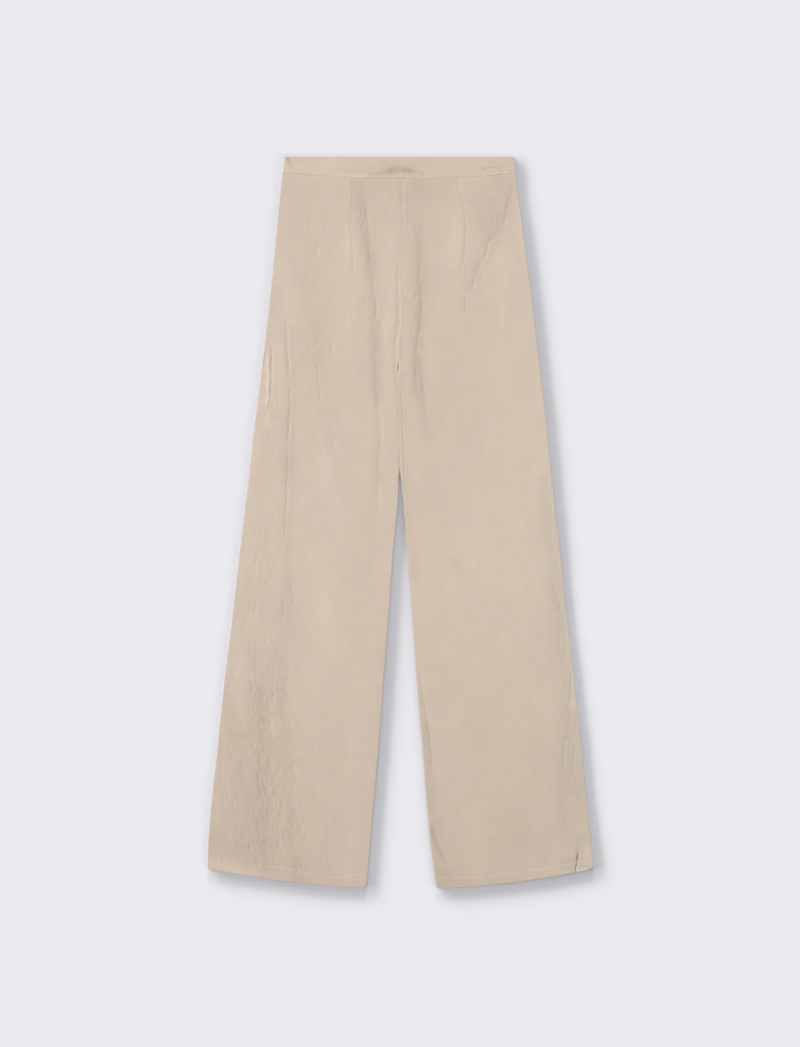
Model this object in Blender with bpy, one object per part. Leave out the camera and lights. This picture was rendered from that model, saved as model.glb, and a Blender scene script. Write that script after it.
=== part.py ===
"""Palazzo pants laid flat with their back side up, as six cut and sewn pieces of cloth.

Metres, +Z up.  The waist points along +Y and the hems along -Y, and the front panels lie on z = 0.
The origin is under the middle of the garment, on the surface that it lies on.

Each leg is a flattened tube.  A section across it is a ring: flat underneath, turned over at both
edges with a small roll, and lying loosely on itself above.  Every piece is a grid of points laid on
its share of those rings, extruded inwards by the thickness of the cloth.
"""

import math
from collections import namedtuple

import bmesh
import bpy
import numpy as np

# ---------------------------------------------------------------- driving sizes

CLOTH_WALL = 0.0010       # a panel, with its seam allowances pressed flat
BAND_WALL = 0.0014        # the waistband, which is doubled and fused
SEAM_GAP = 0.0003         # between two pieces where they are sewn together
ROLL_RADIUS = 0.0022      # outer radius of the cloth where it turns over at an edge
REST_HEIGHT = 2 * ROLL_RADIUS  # top of the back panels, away from folds
BAND_PROUD = 0.0002       # how far the back waistband stands above the panels

WAIST_TOP = 0.5400        # top edge of the waistband
WAIST_HALF = 0.1700       # half of the waist, measured flat
HEM_WIDTH = 0.2350        # one hem, measured flat
WAIST_SEAM_CENTRE = 0.5074
WAIST_SEAM_SIDE = 0.5155
WAIST_SEAM_REACH = 0.2000  # rows of points are level again at this share of the way down
HEM_LEVEL = -0.5300       # rows of points are level above this height ...
HEM_REACH = 0.4000        # ... and follow the hem over this last share of the way
CROTCH = 0.2280           # where the centre seam ends and the legs part
TURN_LENGTH = 0.0600      # the inner edges go from flat to fully turned over this height

SEAM_CLEARANCE = 0.0060   # folds die out over this distance from a seam or a roll

ROLL_ARC = ROLL_RADIUS * math.pi / 2
FULL_TURN = math.pi / 2
TANGENT_STEP = 0.00002    # how far apart two places on a ring give its direction
LEAST_TURN = 0.000001     # stands for no turn at all, where the radius of the turn has to be finite

# One row per section across the garment, from waist to hem.  outer and inner are the edges of the
# two legs in X.  wrap is how far the front panel reaches round each outer edge, measured along the
# cloth from half height of the roll to the side seam.
Section = namedtuple("Section", "y outer_left inner_left inner_right outer_right wrap_left wrap_right")
SECTIONS = (
    Section(0.540, -0.1706, 0.0044, 0.0044, 0.1676, 0.0015, 0.0015),
    Section(0.505, -0.1752, 0.0044, 0.0044, 0.1706, 0.0015, 0.0015),
    Section(0.430, -0.1828, 0.0040, 0.0040, 0.1808, 0.0015, 0.0015),
    Section(0.330, -0.1927, 0.0000, 0.0000, 0.1938, 0.0015, 0.0015),
    Section(0.228, -0.2046, -0.0032, -0.0027, 0.2060, 0.0015, 0.0015),
    Section(0.122, -0.2179, -0.0018, -0.0010, 0.2179, 0.0015, 0.0015),
    Section(0.072, -0.2232, -0.0014, -0.0002, 0.2230, 0.0015, 0.0015),
    Section(0.033, -0.2280, -0.0039, 0.0036, 0.2267, 0.0015, 0.0015),
    Section(-0.026, -0.2352, -0.0096, 0.0085, 0.2336, 0.0015, 0.0015),
    Section(-0.144, -0.2487, -0.0182, 0.0176, 0.2462, 0.0015, 0.0015),
    Section(-0.262, -0.2630, -0.0275, 0.0262, 0.2595, 0.0015, 0.0100),
    Section(-0.340, -0.2708, -0.0333, 0.0332, 0.2682, 0.0100, 0.0215),
    Section(-0.420, -0.2796, -0.0402, 0.0392, 0.2756, 0.0200, 0.0240),
    Section(-0.480, -0.2840, -0.0455, 0.0450, 0.2822, 0.0240, 0.0240),
    Section(-0.540, -0.2850, -0.0508, 0.0535, 0.2886, 0.0280, 0.0310),
)

# The hem of each leg, from its inner corner to its outer one.
Hem = namedtuple("Hem", "across left right")
HEMS = (
    Hem(0.00, -0.5386, -0.5404),
    Hem(0.25, -0.5361, -0.5370),
    Hem(0.50, -0.5300, -0.5308),
    Hem(0.75, -0.5209, -0.5219),
    Hem(1.00, -0.5122, -0.5094),
)
CORNER_LIFT = 0.0050      # the hem's corners are eased up by this much
CORNER_REACH = 0.0090     # over this width

# The largest folds of the back panels.  A row is one soft trough (depth below zero) or ridge, with
# its line through three or four points.  side is -1 for the left panel and 1 for the right.
Fold = namedtuple("Fold", "name side width depth line")
FOLDS = (
    Fold("left seat trough", -1, 0.009, -0.0011,
         ((-0.051, 0.440), (-0.038, 0.330), (-0.036, 0.205), (-0.032, 0.060))),
    Fold("left seat ridge", -1, 0.012, 0.0012,
         ((-0.022, 0.420), (-0.019, 0.300), (-0.020, 0.170), (-0.023, 0.050))),
    Fold("centre groove", -1, 0.008, -0.0009,
         ((-0.003, 0.380), (-0.007, 0.290), (-0.008, 0.230))),
    Fold("left thigh ridge", -1, 0.010, 0.0016,
         ((-0.180, 0.305), (-0.177, 0.210), (-0.177, 0.100), (-0.178, -0.040))),
    Fold("left calf valley", -1, 0.020, -0.0011,
         ((-0.215, -0.120), (-0.205, -0.260), (-0.208, -0.390), (-0.190, -0.470))),
    Fold("right seat trough", 1, 0.010, -0.0013,
         ((0.020, 0.425), (0.031, 0.355), (0.030, 0.280), (0.022, 0.180))),
    Fold("right seat ridge", 1, 0.012, 0.0010,
         ((0.046, 0.330), (0.046, 0.270), (0.044, 0.160))),
    Fold("right hip trough", 1, 0.011, -0.0013,
         ((0.166, 0.490), (0.150, 0.445), (0.124, 0.390), (0.105, 0.330))),
    Fold("right shin trough", 1, 0.010, -0.0009,
         ((0.032, -0.225), (0.043, -0.320), (0.050, -0.390))),
)

# Rows of points down a panel: each band of height has its own number, closest at the seat.
RowBand = namedtuple("RowBand", "height rows")
ROW_BANDS = (
    RowBand(0.210, 7),
    RowBand(0.250, 9),
    RowBand(0.565, 8),
)

# Points across a piece, as numbers of steps on each stretch of its ring.
BACK_ROLL_STEPS = 5
BACK_FLAT_STEPS = 22
FRONT_WRAP_STEPS = 2
FRONT_ROLL_STEPS = 4
FRONT_FLAT_STEPS = 8
INNER_TURN_STEPS = 5
BAND_FLAT_STEPS = 14
BAND_ROWS = 2

CLOTH_COLOUR = (0.60, 0.49, 0.385, 1.0)
BAND_COLOUR = (0.63, 0.52, 0.405, 1.0)
CLOTH_ROUGHNESS = 0.55
BAND_ROUGHNESS = 0.50
LEFT = -1
RIGHT = 1


# ---------------------------------------------------------------- curves from the tables

def smooth_curve(places, values):
    """A smooth curve through the values at rising places, as a function of the place."""
    places = np.array(places)
    values = np.array(values)
    slopes = np.gradient(values, places)

    def at(place):
        k = np.clip(np.searchsorted(places, place) - 1, 0, len(places) - 2)
        step = places[k + 1] - places[k]
        t = np.clip((place - places[k]) / step, 0.0, 1.0)
        start = values[k] * (1 + 2 * t) * (1 - t) ** 2 + slopes[k] * step * t * (1 - t) ** 2
        end = values[k + 1] * (3 - 2 * t) * t ** 2 - slopes[k + 1] * step * (1 - t) * t ** 2
        return start + end

    return at


def section_curve(column):
    """One column of SECTIONS as a smooth curve over y."""
    rows = sorted(SECTIONS)
    return smooth_curve([row.y for row in rows], [getattr(row, column) for row in rows])


OUTER = {LEFT: section_curve("outer_left"), RIGHT: section_curve("outer_right")}
INNER = {LEFT: section_curve("inner_left"), RIGHT: section_curve("inner_right")}
WRAP = {LEFT: section_curve("wrap_left"), RIGHT: section_curve("wrap_right")}
HEM = {
    LEFT: smooth_curve([row.across for row in HEMS], [row.left for row in HEMS]),
    RIGHT: smooth_curve([row.across for row in HEMS], [row.right for row in HEMS]),
}


def ease(t):
    """From 0 to 1 with soft ends."""
    t = np.clip(t, 0.0, 1.0)
    return t * t * (3 - 2 * t)


def inner_turn(y):
    """The angle by which the inner edge is turned over: none at the centre seam, a full one below."""
    return FULL_TURN * ease((CROTCH + TURN_LENGTH / 4 - y) / TURN_LENGTH)


def distance_to_line(x, y, line):
    """Distance to a line of points, and how far along it the nearest place is, from 0 to 1."""
    nearest = np.full(x.shape, np.inf)
    along = np.zeros(x.shape)
    spans = len(line) - 1
    for k, ((x0, y0), (x1, y1)) in enumerate(zip(line, line[1:])):
        run_x = x1 - x0
        run_y = y1 - y0
        t = np.clip(((x - x0) * run_x + (y - y0) * run_y) / (run_x ** 2 + run_y ** 2), 0.0, 1.0)
        distance = np.hypot(x - x0 - t * run_x, y - y0 - t * run_y)
        closer = distance < nearest
        nearest = np.where(closer, distance, nearest)
        along = np.where(closer, (k + t) / spans, along)
    return nearest, along


def folds_at(side, x, y):
    """How far the folds of one back panel raise it at x, y."""
    height = np.zeros(x.shape)
    for fold in FOLDS:
        if fold.side != side:
            continue
        distance, along = distance_to_line(x, y, fold.line)
        height += fold.depth * np.exp(-(distance / fold.width) ** 2) * np.sin(math.pi * along) ** 0.5
    return height


# ---------------------------------------------------------------- the ring of a leg

def roll_gap(wall):
    """The gap on the outside of a roll that leaves the seam gap on its inside."""
    return SEAM_GAP * ROLL_RADIUS / (ROLL_RADIUS - wall)


def ring_length(side, y):
    """Half of the ring, from half height of the outer edge to the end at the inner edge."""
    turn = np.maximum(inner_turn(y), LEAST_TURN)
    turned = ROLL_ARC * np.sin(turn) / turn
    return 2 * ROLL_ARC + side * OUTER[side](y) - ROLL_RADIUS - side * INNER[side](y) - turned


def ring_point(side, y, reach):
    """X and Z on the outside of the ring, reach metres along the cloth from the outer edge.

    A positive reach goes over the top and a negative one underneath.
    """
    turn = np.maximum(inner_turn(y), LEAST_TURN)
    length = ring_length(side, y)
    outer_edge = side * OUTER[side](y)
    inner_edge = side * INNER[side](y)
    distance = np.abs(reach)

    angle = np.minimum(distance, ROLL_ARC) / ROLL_RADIUS
    rolled = ROLL_RADIUS * (1 - np.cos(angle))
    lift = ROLL_RADIUS * np.sin(angle)

    last = np.clip(distance - (length - ROLL_ARC), 0.0, ROLL_ARC)
    radius = ROLL_ARC / turn
    flat = np.maximum(np.minimum(distance, length - ROLL_ARC) - ROLL_ARC, 0.0)
    across = outer_edge - rolled - flat - radius * np.sin(last / radius)
    drop = radius * (1 - np.cos(last / radius))

    from_outer = np.maximum(outer_edge - ROLL_RADIUS - across, 0.0)
    from_inner = np.maximum(across - inner_edge - ROLL_ARC, 0.0)
    free = ease(from_outer / SEAM_CLEARANCE) * ease(from_inner / SEAM_CLEARANCE)
    above = REST_HEIGHT + folds_at(side, side * across, y) * free

    on_roll = distance < ROLL_ARC
    top = np.where(on_roll, ROLL_RADIUS + lift, above - drop)
    under = np.where(on_roll, ROLL_RADIUS - lift, drop)
    return side * across, np.where(reach >= 0, top, under)


def ring_outward(side, y, reach):
    """X and Z of the unit normal that points out of the ring at that place."""
    ahead_x, ahead_z = ring_point(side, y, reach + TANGENT_STEP)
    behind_x, behind_z = ring_point(side, y, reach - TANGENT_STEP)
    run_x = ahead_x - behind_x
    run_z = ahead_z - behind_z
    run = np.hypot(run_x, run_z)
    return side * run_z / run, -side * run_x / run


def run_through(share, knots):
    """Straight runs through (share, distance) knots, whose distances may differ from row to row."""
    distance = knots[0][1]
    for (share_0, distance_0), (share_1, distance_1) in zip(knots, knots[1:]):
        t = np.clip((share - share_0) / (share_1 - share_0), 0.0, 1.0)
        distance = distance + t * (distance_1 - distance_0)
    return distance


# ---------------------------------------------------------------- the pieces

def cloth_material(name, colour, roughness):
    material = bpy.data.materials.new(name)
    material.use_nodes = True
    shader = material.node_tree.nodes["Principled BSDF"]
    shader.inputs["Base Color"].default_value = colour
    shader.inputs["Roughness"].default_value = roughness
    shader.inputs["Metallic"].default_value = 0.0
    shader.inputs["Sheen Weight"].default_value = 0.2
    return material


def cloth_piece(name, columns, rows, place, wall, material):
    """A grid of columns x rows steps, laid by place(share across, share down), with a wall.

    place gives the point on the outside of the cloth and the X and Z of its outward normal.
    """
    grid = bmesh.new()
    bmesh.ops.create_grid(grid, x_segments=columns, y_segments=rows, size=0.5)
    extruded = bmesh.ops.extrude_face_region(grid, geom=grid.faces[:])["geom"]
    inside = {item for item in extruded if isinstance(item, bmesh.types.BMVert)}
    depth = np.array([wall if vertex in inside else 0.0 for vertex in grid.verts])
    shares = np.array([vertex.co for vertex in grid.verts]) + 0.5
    x, y, z, normal_x, normal_z = place(shares[:, 0], 1.0 - shares[:, 1])
    points = np.stack([x - depth * normal_x, y, z - depth * normal_z], axis=1)
    for vertex, point in zip(grid.verts, points):
        vertex.co = point
    bmesh.ops.recalc_face_normals(grid, faces=grid.faces[:])

    mesh = bpy.data.meshes.new(name)
    grid.to_mesh(mesh)
    grid.free()
    mesh.shade_smooth()
    mesh.materials.append(material)
    piece = bpy.data.objects.new(name, mesh)
    bpy.context.scene.collection.objects.link(piece)
    return piece


def row_level(down):
    """The y of a row of points where it is level, from the waist seam at 0 to the hem at 1."""
    counts = [band.rows for band in ROW_BANDS]
    heights = [band.height for band in ROW_BANDS]
    places = np.concatenate([[0.0], np.cumsum(counts)]) / sum(counts)
    drops = np.concatenate([[0.0], np.cumsum(heights)]) / sum(heights)
    return WAIST_SEAM_SIDE + np.interp(down, places, drops) * (HEM_LEVEL - WAIST_SEAM_SIDE)


def waist_seam(x):
    """The y of the seam under the back waistband, which dips towards the centre."""
    across = np.minimum(np.abs(x) / WAIST_HALF, 1.0)
    return WAIST_SEAM_CENTRE + (WAIST_SEAM_SIDE - WAIST_SEAM_CENTRE) * across ** 2


def panel_height(side, x, level, seam):
    """The y of a panel's point at x: its row follows the waist seam at the top and the hem below."""
    inner_edge = side * INNER[side](level)
    outer_edge = side * OUTER[side](level)
    across = np.clip((side * x - inner_edge) / (outer_edge - inner_edge), 0.0, 1.0)
    corner = 1.0 - np.minimum(across, 1.0 - across) * HEM_WIDTH / CORNER_REACH
    hem = HEM[side](across) + CORNER_LIFT * np.maximum(corner, 0.0) ** 2

    down = (WAIST_SEAM_SIDE - level) / (WAIST_SEAM_SIDE - HEM_LEVEL)
    at_waist = (seam - SEAM_GAP / 2 - WAIST_SEAM_SIDE) * ease(1.0 - down / WAIST_SEAM_REACH)
    at_hem = (hem - HEM_LEVEL) * ease(1.0 - (1.0 - down) / HEM_REACH)
    return level + at_waist + at_hem


def back_panel(side, name, material):
    columns = BACK_ROLL_STEPS + BACK_FLAT_STEPS + INNER_TURN_STEPS
    roll_end = BACK_ROLL_STEPS / columns
    flat_end = (BACK_ROLL_STEPS + BACK_FLAT_STEPS) / columns
    gap = roll_gap(CLOTH_WALL)

    def reach_at(share, y):
        seam = WRAP[side](y) + gap / 2
        end = ring_length(side, y) - gap / 2
        return run_through(share, (
            (0.0, seam),
            (roll_end, seam + ROLL_ARC),
            (flat_end, end - ROLL_ARC),
            (1.0, end),
        ))

    def place(share, down):
        level = row_level(down)
        x, _ = ring_point(side, level, reach_at(share, level))
        y = panel_height(side, x, level, waist_seam(x))
        reach = reach_at(share, y)
        x, z = ring_point(side, y, reach)
        return x, y, z, *ring_outward(side, y, reach)

    rows = sum(band.rows for band in ROW_BANDS)
    return cloth_piece(name, columns, rows, place, CLOTH_WALL, material)


def front_panel(side, name, material):
    columns = FRONT_WRAP_STEPS + FRONT_ROLL_STEPS + FRONT_FLAT_STEPS + INNER_TURN_STEPS
    wrap_end = FRONT_WRAP_STEPS / columns
    roll_end = (FRONT_WRAP_STEPS + FRONT_ROLL_STEPS) / columns
    flat_end = 1.0 - INNER_TURN_STEPS / columns
    gap = roll_gap(CLOTH_WALL)

    def reach_at(share, y):
        seam = WRAP[side](y) - gap / 2
        end = ring_length(side, y) - gap / 2
        return run_through(share, (
            (0.0, seam),
            (wrap_end, np.minimum(ROLL_ARC, seam / 2)),
            (roll_end, -ROLL_ARC),
            (flat_end, ROLL_ARC - end),
            (1.0, -end),
        ))

    def place(share, down):
        level = row_level(down)
        x, _ = ring_point(side, level, reach_at(share, level))
        y = panel_height(side, x, level, WAIST_SEAM_SIDE)
        reach = reach_at(share, y)
        x, z = ring_point(side, y, reach)
        return x, y, z, *ring_outward(side, y, reach)

    rows = sum(band.rows for band in ROW_BANDS)
    return cloth_piece(name, columns, rows, place, CLOTH_WALL, material)


def waistband(name, above, material):
    """Half of the waistband, from side seam to side seam: the back one above, the front one below."""
    columns = 2 * BACK_ROLL_STEPS + BAND_FLAT_STEPS
    roll_end = BACK_ROLL_STEPS / columns
    over = 1.0 if above else -1.0
    seam = SECTIONS[0].wrap_left + over * roll_gap(BAND_WALL) / 2

    def lay(share, y):
        """The ring of the left half up to the middle, and of the right half from there."""
        halves = []
        for side in (LEFT, RIGHT):
            reach = run_through(0.5 - np.abs(share - 0.5), (
                (0.0, seam),
                (roll_end, over * ROLL_ARC),
                (0.5, over * ring_length(side, y)),
            ))
            halves.append([*ring_point(side, y, reach), *ring_outward(side, y, reach)])
        return np.where(share < 0.5, halves[0], halves[1])

    def place(share, down):
        x = lay(share, np.full(share.shape, WAIST_SEAM_SIDE))[0]
        lower = waist_seam(x) if above else WAIST_SEAM_SIDE
        y = WAIST_TOP + down * (lower + SEAM_GAP / 2 - WAIST_TOP)
        x, z, normal_x, normal_z = lay(share, y)
        return x, y, z + (BAND_PROUD if above else 0.0), normal_x, normal_z

    return cloth_piece(name, columns, BAND_ROWS, place, BAND_WALL, material)


for old in list(bpy.data.objects):
    bpy.data.objects.remove(old, do_unlink=True)

back_panel(LEFT, "back_left", cloth_material("back_left", CLOTH_COLOUR, CLOTH_ROUGHNESS))
back_panel(RIGHT, "back_right", cloth_material("back_right", CLOTH_COLOUR, CLOTH_ROUGHNESS))
front_panel(LEFT, "front_left", cloth_material("front_left", CLOTH_COLOUR, CLOTH_ROUGHNESS))
front_panel(RIGHT, "front_right", cloth_material("front_right", CLOTH_COLOUR, CLOTH_ROUGHNESS))
waistband("waistband_back", True, cloth_material("waistband_back", BAND_COLOUR, BAND_ROUGHNESS))
waistband("waistband_front", False, cloth_material("waistband_front", BAND_COLOUR, BAND_ROUGHNESS))
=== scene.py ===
"""Palazzo pants of light beige satin-backed cloth, laid flat with their back side up.

Metres, +Z up.  The waist points along +Y and the hems along -Y, and the front panels lie on z = 0.
The tables of creases are in millimetres, as a cutter would measure them on the table.
"""

import math
from collections import namedtuple

import bmesh
import bpy
import numpy as np
from mathutils import Euler, Matrix, Vector, noise


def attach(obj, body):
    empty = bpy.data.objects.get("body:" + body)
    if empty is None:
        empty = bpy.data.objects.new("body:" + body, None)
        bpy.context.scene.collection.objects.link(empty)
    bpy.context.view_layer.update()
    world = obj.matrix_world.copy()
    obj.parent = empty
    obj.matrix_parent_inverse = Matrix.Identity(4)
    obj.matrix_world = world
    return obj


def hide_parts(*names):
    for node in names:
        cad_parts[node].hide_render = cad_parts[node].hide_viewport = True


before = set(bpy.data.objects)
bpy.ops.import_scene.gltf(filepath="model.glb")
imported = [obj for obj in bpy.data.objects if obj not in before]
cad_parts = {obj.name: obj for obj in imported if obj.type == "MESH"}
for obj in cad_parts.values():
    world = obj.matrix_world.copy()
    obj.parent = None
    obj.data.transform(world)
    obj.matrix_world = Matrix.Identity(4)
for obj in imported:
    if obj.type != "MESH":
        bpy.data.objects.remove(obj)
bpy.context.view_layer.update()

# ---------------------------------------------------------------- table, light and camera
# The garment lies on a plain pale table in a white room.  The low lamps, mostly at the upper left,
# draw its shadow on the table and the overhead one fills it in, and the high lamp at the upper left
# models the cloth only.  The camera looks straight down from far away.

TABLE_HALF = 40.0
TABLE_DROP = 0.0002
TABLE_COLOUR = (0.2380, 0.2355, 0.2476, 1.0)
ROOM_LIGHT = 0.560

# Where each lamp stands, seen from above, its height over the horizon and its width in degrees,
# and the light that it gives to a level surface.
Lamp = namedtuple("Lamp", "name away height width light lights_table")
LAMPS = (
    Lamp("low lamp, top", (0.00, 1.00), 10.9, 11.8, 0.460, True),
    Lamp("low lamp, upper", (-0.42, 0.91), 8.7, 10.0, 0.120, True),
    Lamp("low lamp", (-0.65, 0.76), 8.3, 9.0, 0.380, True),
    Lamp("low lamp, side", (-0.86, 0.51), 9.5, 10.0, 0.365, True),
    Lamp("low lamp, left", (-1.00, 0.00), 12.6, 13.7, 0.380, True),
    Lamp("middle lamp", (-0.65, 0.76), 16.0, 24.0, 0.090, True),
    Lamp("low lamp opposite", (0.90, -0.44), 22.0, 26.0, 0.320, True),
    Lamp("overhead lamp", (-0.65, 0.76), 89.6, 1.5, 0.820, True),
    Lamp("high lamp", (-0.74, 0.67), 34.0, 22.0, 0.430, False),
)

CAMERA_HEIGHT = 7.0
FRAME_HEIGHT = 1.5464
FRAME_CENTRE = (-0.0007, -0.0015)
SENSOR = 36.0

scene = bpy.context.scene
scene.view_settings.view_transform = "Standard"
scene.view_settings.look = "None"

room = bpy.data.worlds.new("white room")
room.use_nodes = True
room.node_tree.nodes["Background"].inputs["Color"].default_value = (1.0, 1.0, 1.0, 1.0)
room.node_tree.nodes["Background"].inputs["Strength"].default_value = ROOM_LIGHT
scene.world = room

table_mesh = bmesh.new()
bmesh.ops.create_grid(table_mesh, x_segments=1, y_segments=1, size=TABLE_HALF)
bmesh.ops.translate(table_mesh, verts=table_mesh.verts, vec=(0.0, 0.0, -TABLE_DROP))
table = bpy.data.objects.new("table", bpy.data.meshes.new("table"))
table_mesh.to_mesh(table.data)
table_mesh.free()
scene.collection.objects.link(table)
table_paint = bpy.data.materials.new("pale table")
table_paint.use_nodes = True
paint = table_paint.node_tree.nodes["Principled BSDF"]
paint.inputs["Base Color"].default_value = TABLE_COLOUR
paint.inputs["Roughness"].default_value = 1.0
paint.inputs["Specular IOR Level"].default_value = 0.0
table.data.materials.append(table_paint)

for lamp in LAMPS:
    lit = bpy.data.collections.new("table, for the " + lamp.name)
    lit.objects.link(table)
    lit.collection_objects[0].light_linking.link_state = "INCLUDE" if lamp.lights_table else "EXCLUDE"
    height = math.radians(lamp.height)
    sun = bpy.data.lights.new(lamp.name, "SUN")
    sun.energy = lamp.light * math.pi / math.sin(height)
    sun.angle = math.radians(lamp.width)
    stand = bpy.data.objects.new(lamp.name, sun)
    towards = Vector((*Vector(lamp.away).normalized(), math.tan(height)))
    stand.rotation_euler = towards.to_track_quat("Z", "Y").to_euler()
    stand.light_linking.receiver_collection = lit
    scene.collection.objects.link(stand)

lens = bpy.data.cameras.new("camera")
lens.sensor_fit = "VERTICAL"
lens.sensor_height = SENSOR
lens.lens = SENSOR * CAMERA_HEIGHT / FRAME_HEIGHT
camera = bpy.data.objects.new("camera", lens)
camera.location = (*FRAME_CENTRE, CAMERA_HEIGHT)
scene.collection.objects.link(camera)
scene.camera = camera

# ---------------------------------------------------------------- the cloth
# Light beige satin-backed crepe: a dull, very fine crepe face with a few slubs, and a smoother,
# lighter satin back, which shows only inside the legs.  It crushes easily, so the same cloth has
# a fine crinkle where it has been folded.

FACE_COLOUR = (0.652, 0.535, 0.430)
BACK_COLOUR = (0.80, 0.74, 0.67)
# The two ends of the pink or grey tint, which along shaded creases is a painted warm tint of shade.
PINK_TINT = (1.020, 0.988, 0.975, 1.0)
GREY_TINT = (0.978, 1.010, 1.034, 1.0)
DYE_PATCH = 0.018         # size of the random patches where the cloth is a little pinker or greyer
DYE_STRAY = 0.34
YARN = 0.0006             # from one yarn to the next
SLUB = 0.0011             # thickness of a slub
SLUB_LEAN = 7.0           # degrees
CRUSH = 0.0070            # from one fine crinkle to the next
CRUSH_LEAN = 16.0         # degrees
YARN_HEIGHT = 0.12        # heights are shares of a finish's bump
SLUB_HEIGHT = 0.50
CRUSH_HEIGHT = 9.0
YARN_TONE = 0.05          # how much lighter the cloth is on a yarn or a slub, and darker where it is thin
SLUB_TONE = 0.06
THIN_TONE = 0.05
MOTTLE = 0.015            # size of the small patches of tone
MOTTLE_TONE = 0.016
TONE_PATCH = 0.09         # size of the soft patches of tone
PATCH_TONE = 0.02
PATCH_GLOSS = 0.03
HEM_SHADE = 0.90          # the share of its lightness that the cloth keeps at its hems
SHADE_FROM = -0.05
SHADE_TO = -0.56
MIX_FIRST, MIX_SECOND, MIX_RESULT = 6, 7, 2     # the sockets for colours of a Mix node


def shader_node(tree, kind, inputs, **options):
    """A node with its options set, and each input set to a value or joined to an output."""
    node = tree.nodes.new("ShaderNode" + kind)
    for option, value in options.items():
        setattr(node, option, value)
    for socket, value in inputs.items():
        if isinstance(value, bpy.types.NodeSocket):
            tree.links.new(value, node.inputs[socket])
        else:
            node.inputs[socket].default_value = value
    return node


def stretched_noise(tree, point, size, stretch, detail, lean=0.0):
    """Noise of that size in metres, stretched by two factors along X and Y, which lean by an angle."""
    scale = (size * stretch[0], size * stretch[1], size)
    turned = (0.0, 0.0, math.radians(lean))
    mapping = shader_node(tree, "Mapping", {"Vector": point, "Scale": scale, "Rotation": turned},
                          vector_type="TEXTURE")
    place = mapping.outputs["Vector"]
    texture = shader_node(tree, "TexNoise", {"Vector": place, "Scale": 1.0, "Detail": detail})
    return texture.outputs["Fac"]


def ramp(tree, value, low, high, out_low, out_high):
    limits = {"From Min": low, "From Max": high, "To Min": out_low, "To Max": out_high}
    node = shader_node(tree, "MapRange", {"Value": value, **limits}, interpolation_type="SMOOTHSTEP")
    return node.outputs["Result"]


def arithmetic(tree, operation, *values):
    return shader_node(tree, "Math", dict(enumerate(values)), operation=operation).outputs["Value"]


def product(tree, first, *others):
    for other in others:
        first = arithmetic(tree, "MULTIPLY", first, other)
    return first


def weighed_sum(tree, start, *parts):
    """The start, and each value times its weight added to it."""
    for value, weight in parts:
        start = arithmetic(tree, "MULTIPLY_ADD", value, weight, start)
    return start


def scaled_colour(tree, colour, amount):
    node = shader_node(tree, "VectorMath", {0: colour, "Scale": amount}, operation="SCALE")
    return node.outputs["Vector"]


def look_of(tree, name):
    """One of the looks that a piece of cloth carries at each of its points."""
    return shader_node(tree, "Attribute", {}, attribute_name=name).outputs["Fac"]


def weave_group():
    """Yarns, slubs and crushed crinkles, worked out from a point of the cloth."""
    tree = bpy.data.node_groups.new("crepe weave", "ShaderNodeTree")
    face = tree.interface
    face.new_socket("Point", in_out="INPUT", socket_type="NodeSocketVector")
    face.new_socket("Crushed", in_out="INPUT", socket_type="NodeSocketFloat")
    face.new_socket("Tone", in_out="OUTPUT", socket_type="NodeSocketFloat")
    face.new_socket("Height", in_out="OUTPUT", socket_type="NodeSocketFloat")
    entry = tree.nodes.new("NodeGroupInput")
    leave = tree.nodes.new("NodeGroupOutput")
    point = entry.outputs["Point"]

    warp = stretched_noise(tree, point, YARN, (1.0, 7.0), 1.0)
    weft = stretched_noise(tree, point, YARN, (7.0, 1.0), 1.0)
    yarns = arithmetic(tree, "ADD", warp, weft)
    thick_weft = stretched_noise(tree, point, SLUB, (8.0, 1.0), 1.0)
    thick_warp = stretched_noise(tree, point, SLUB, (1.0, 9.0), 1.0, SLUB_LEAN)
    across = ramp(tree, thick_weft, 0.60, 0.78, 0.0, 1.0)
    along = ramp(tree, thick_warp, 0.66, 0.82, 0.0, 1.0)
    slubs = arithmetic(tree, "ADD", across, along)
    thin = ramp(tree, thick_weft, 0.22, 0.40, 1.0, 0.0)
    creasing = stretched_noise(tree, point, CRUSH, (1.0, 2.4), 4.0, CRUSH_LEAN)
    ridges = arithmetic(tree, "ABSOLUTE", arithmetic(tree, "SUBTRACT", creasing, 0.5))
    crushed = product(tree, ridges, CRUSH_HEIGHT, entry.outputs["Crushed"])
    height = weighed_sum(tree, 0.0, (yarns, YARN_HEIGHT), (slubs, SLUB_HEIGHT), (crushed, -1.0))
    tone = weighed_sum(tree, 1.0 - YARN_TONE, (yarns, YARN_TONE), (slubs, SLUB_TONE), (thin, -THIN_TONE))
    tree.links.new(height, leave.inputs["Height"])
    tree.links.new(tone, leave.inputs["Tone"])
    return tree


crepe_weave = weave_group()


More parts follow.
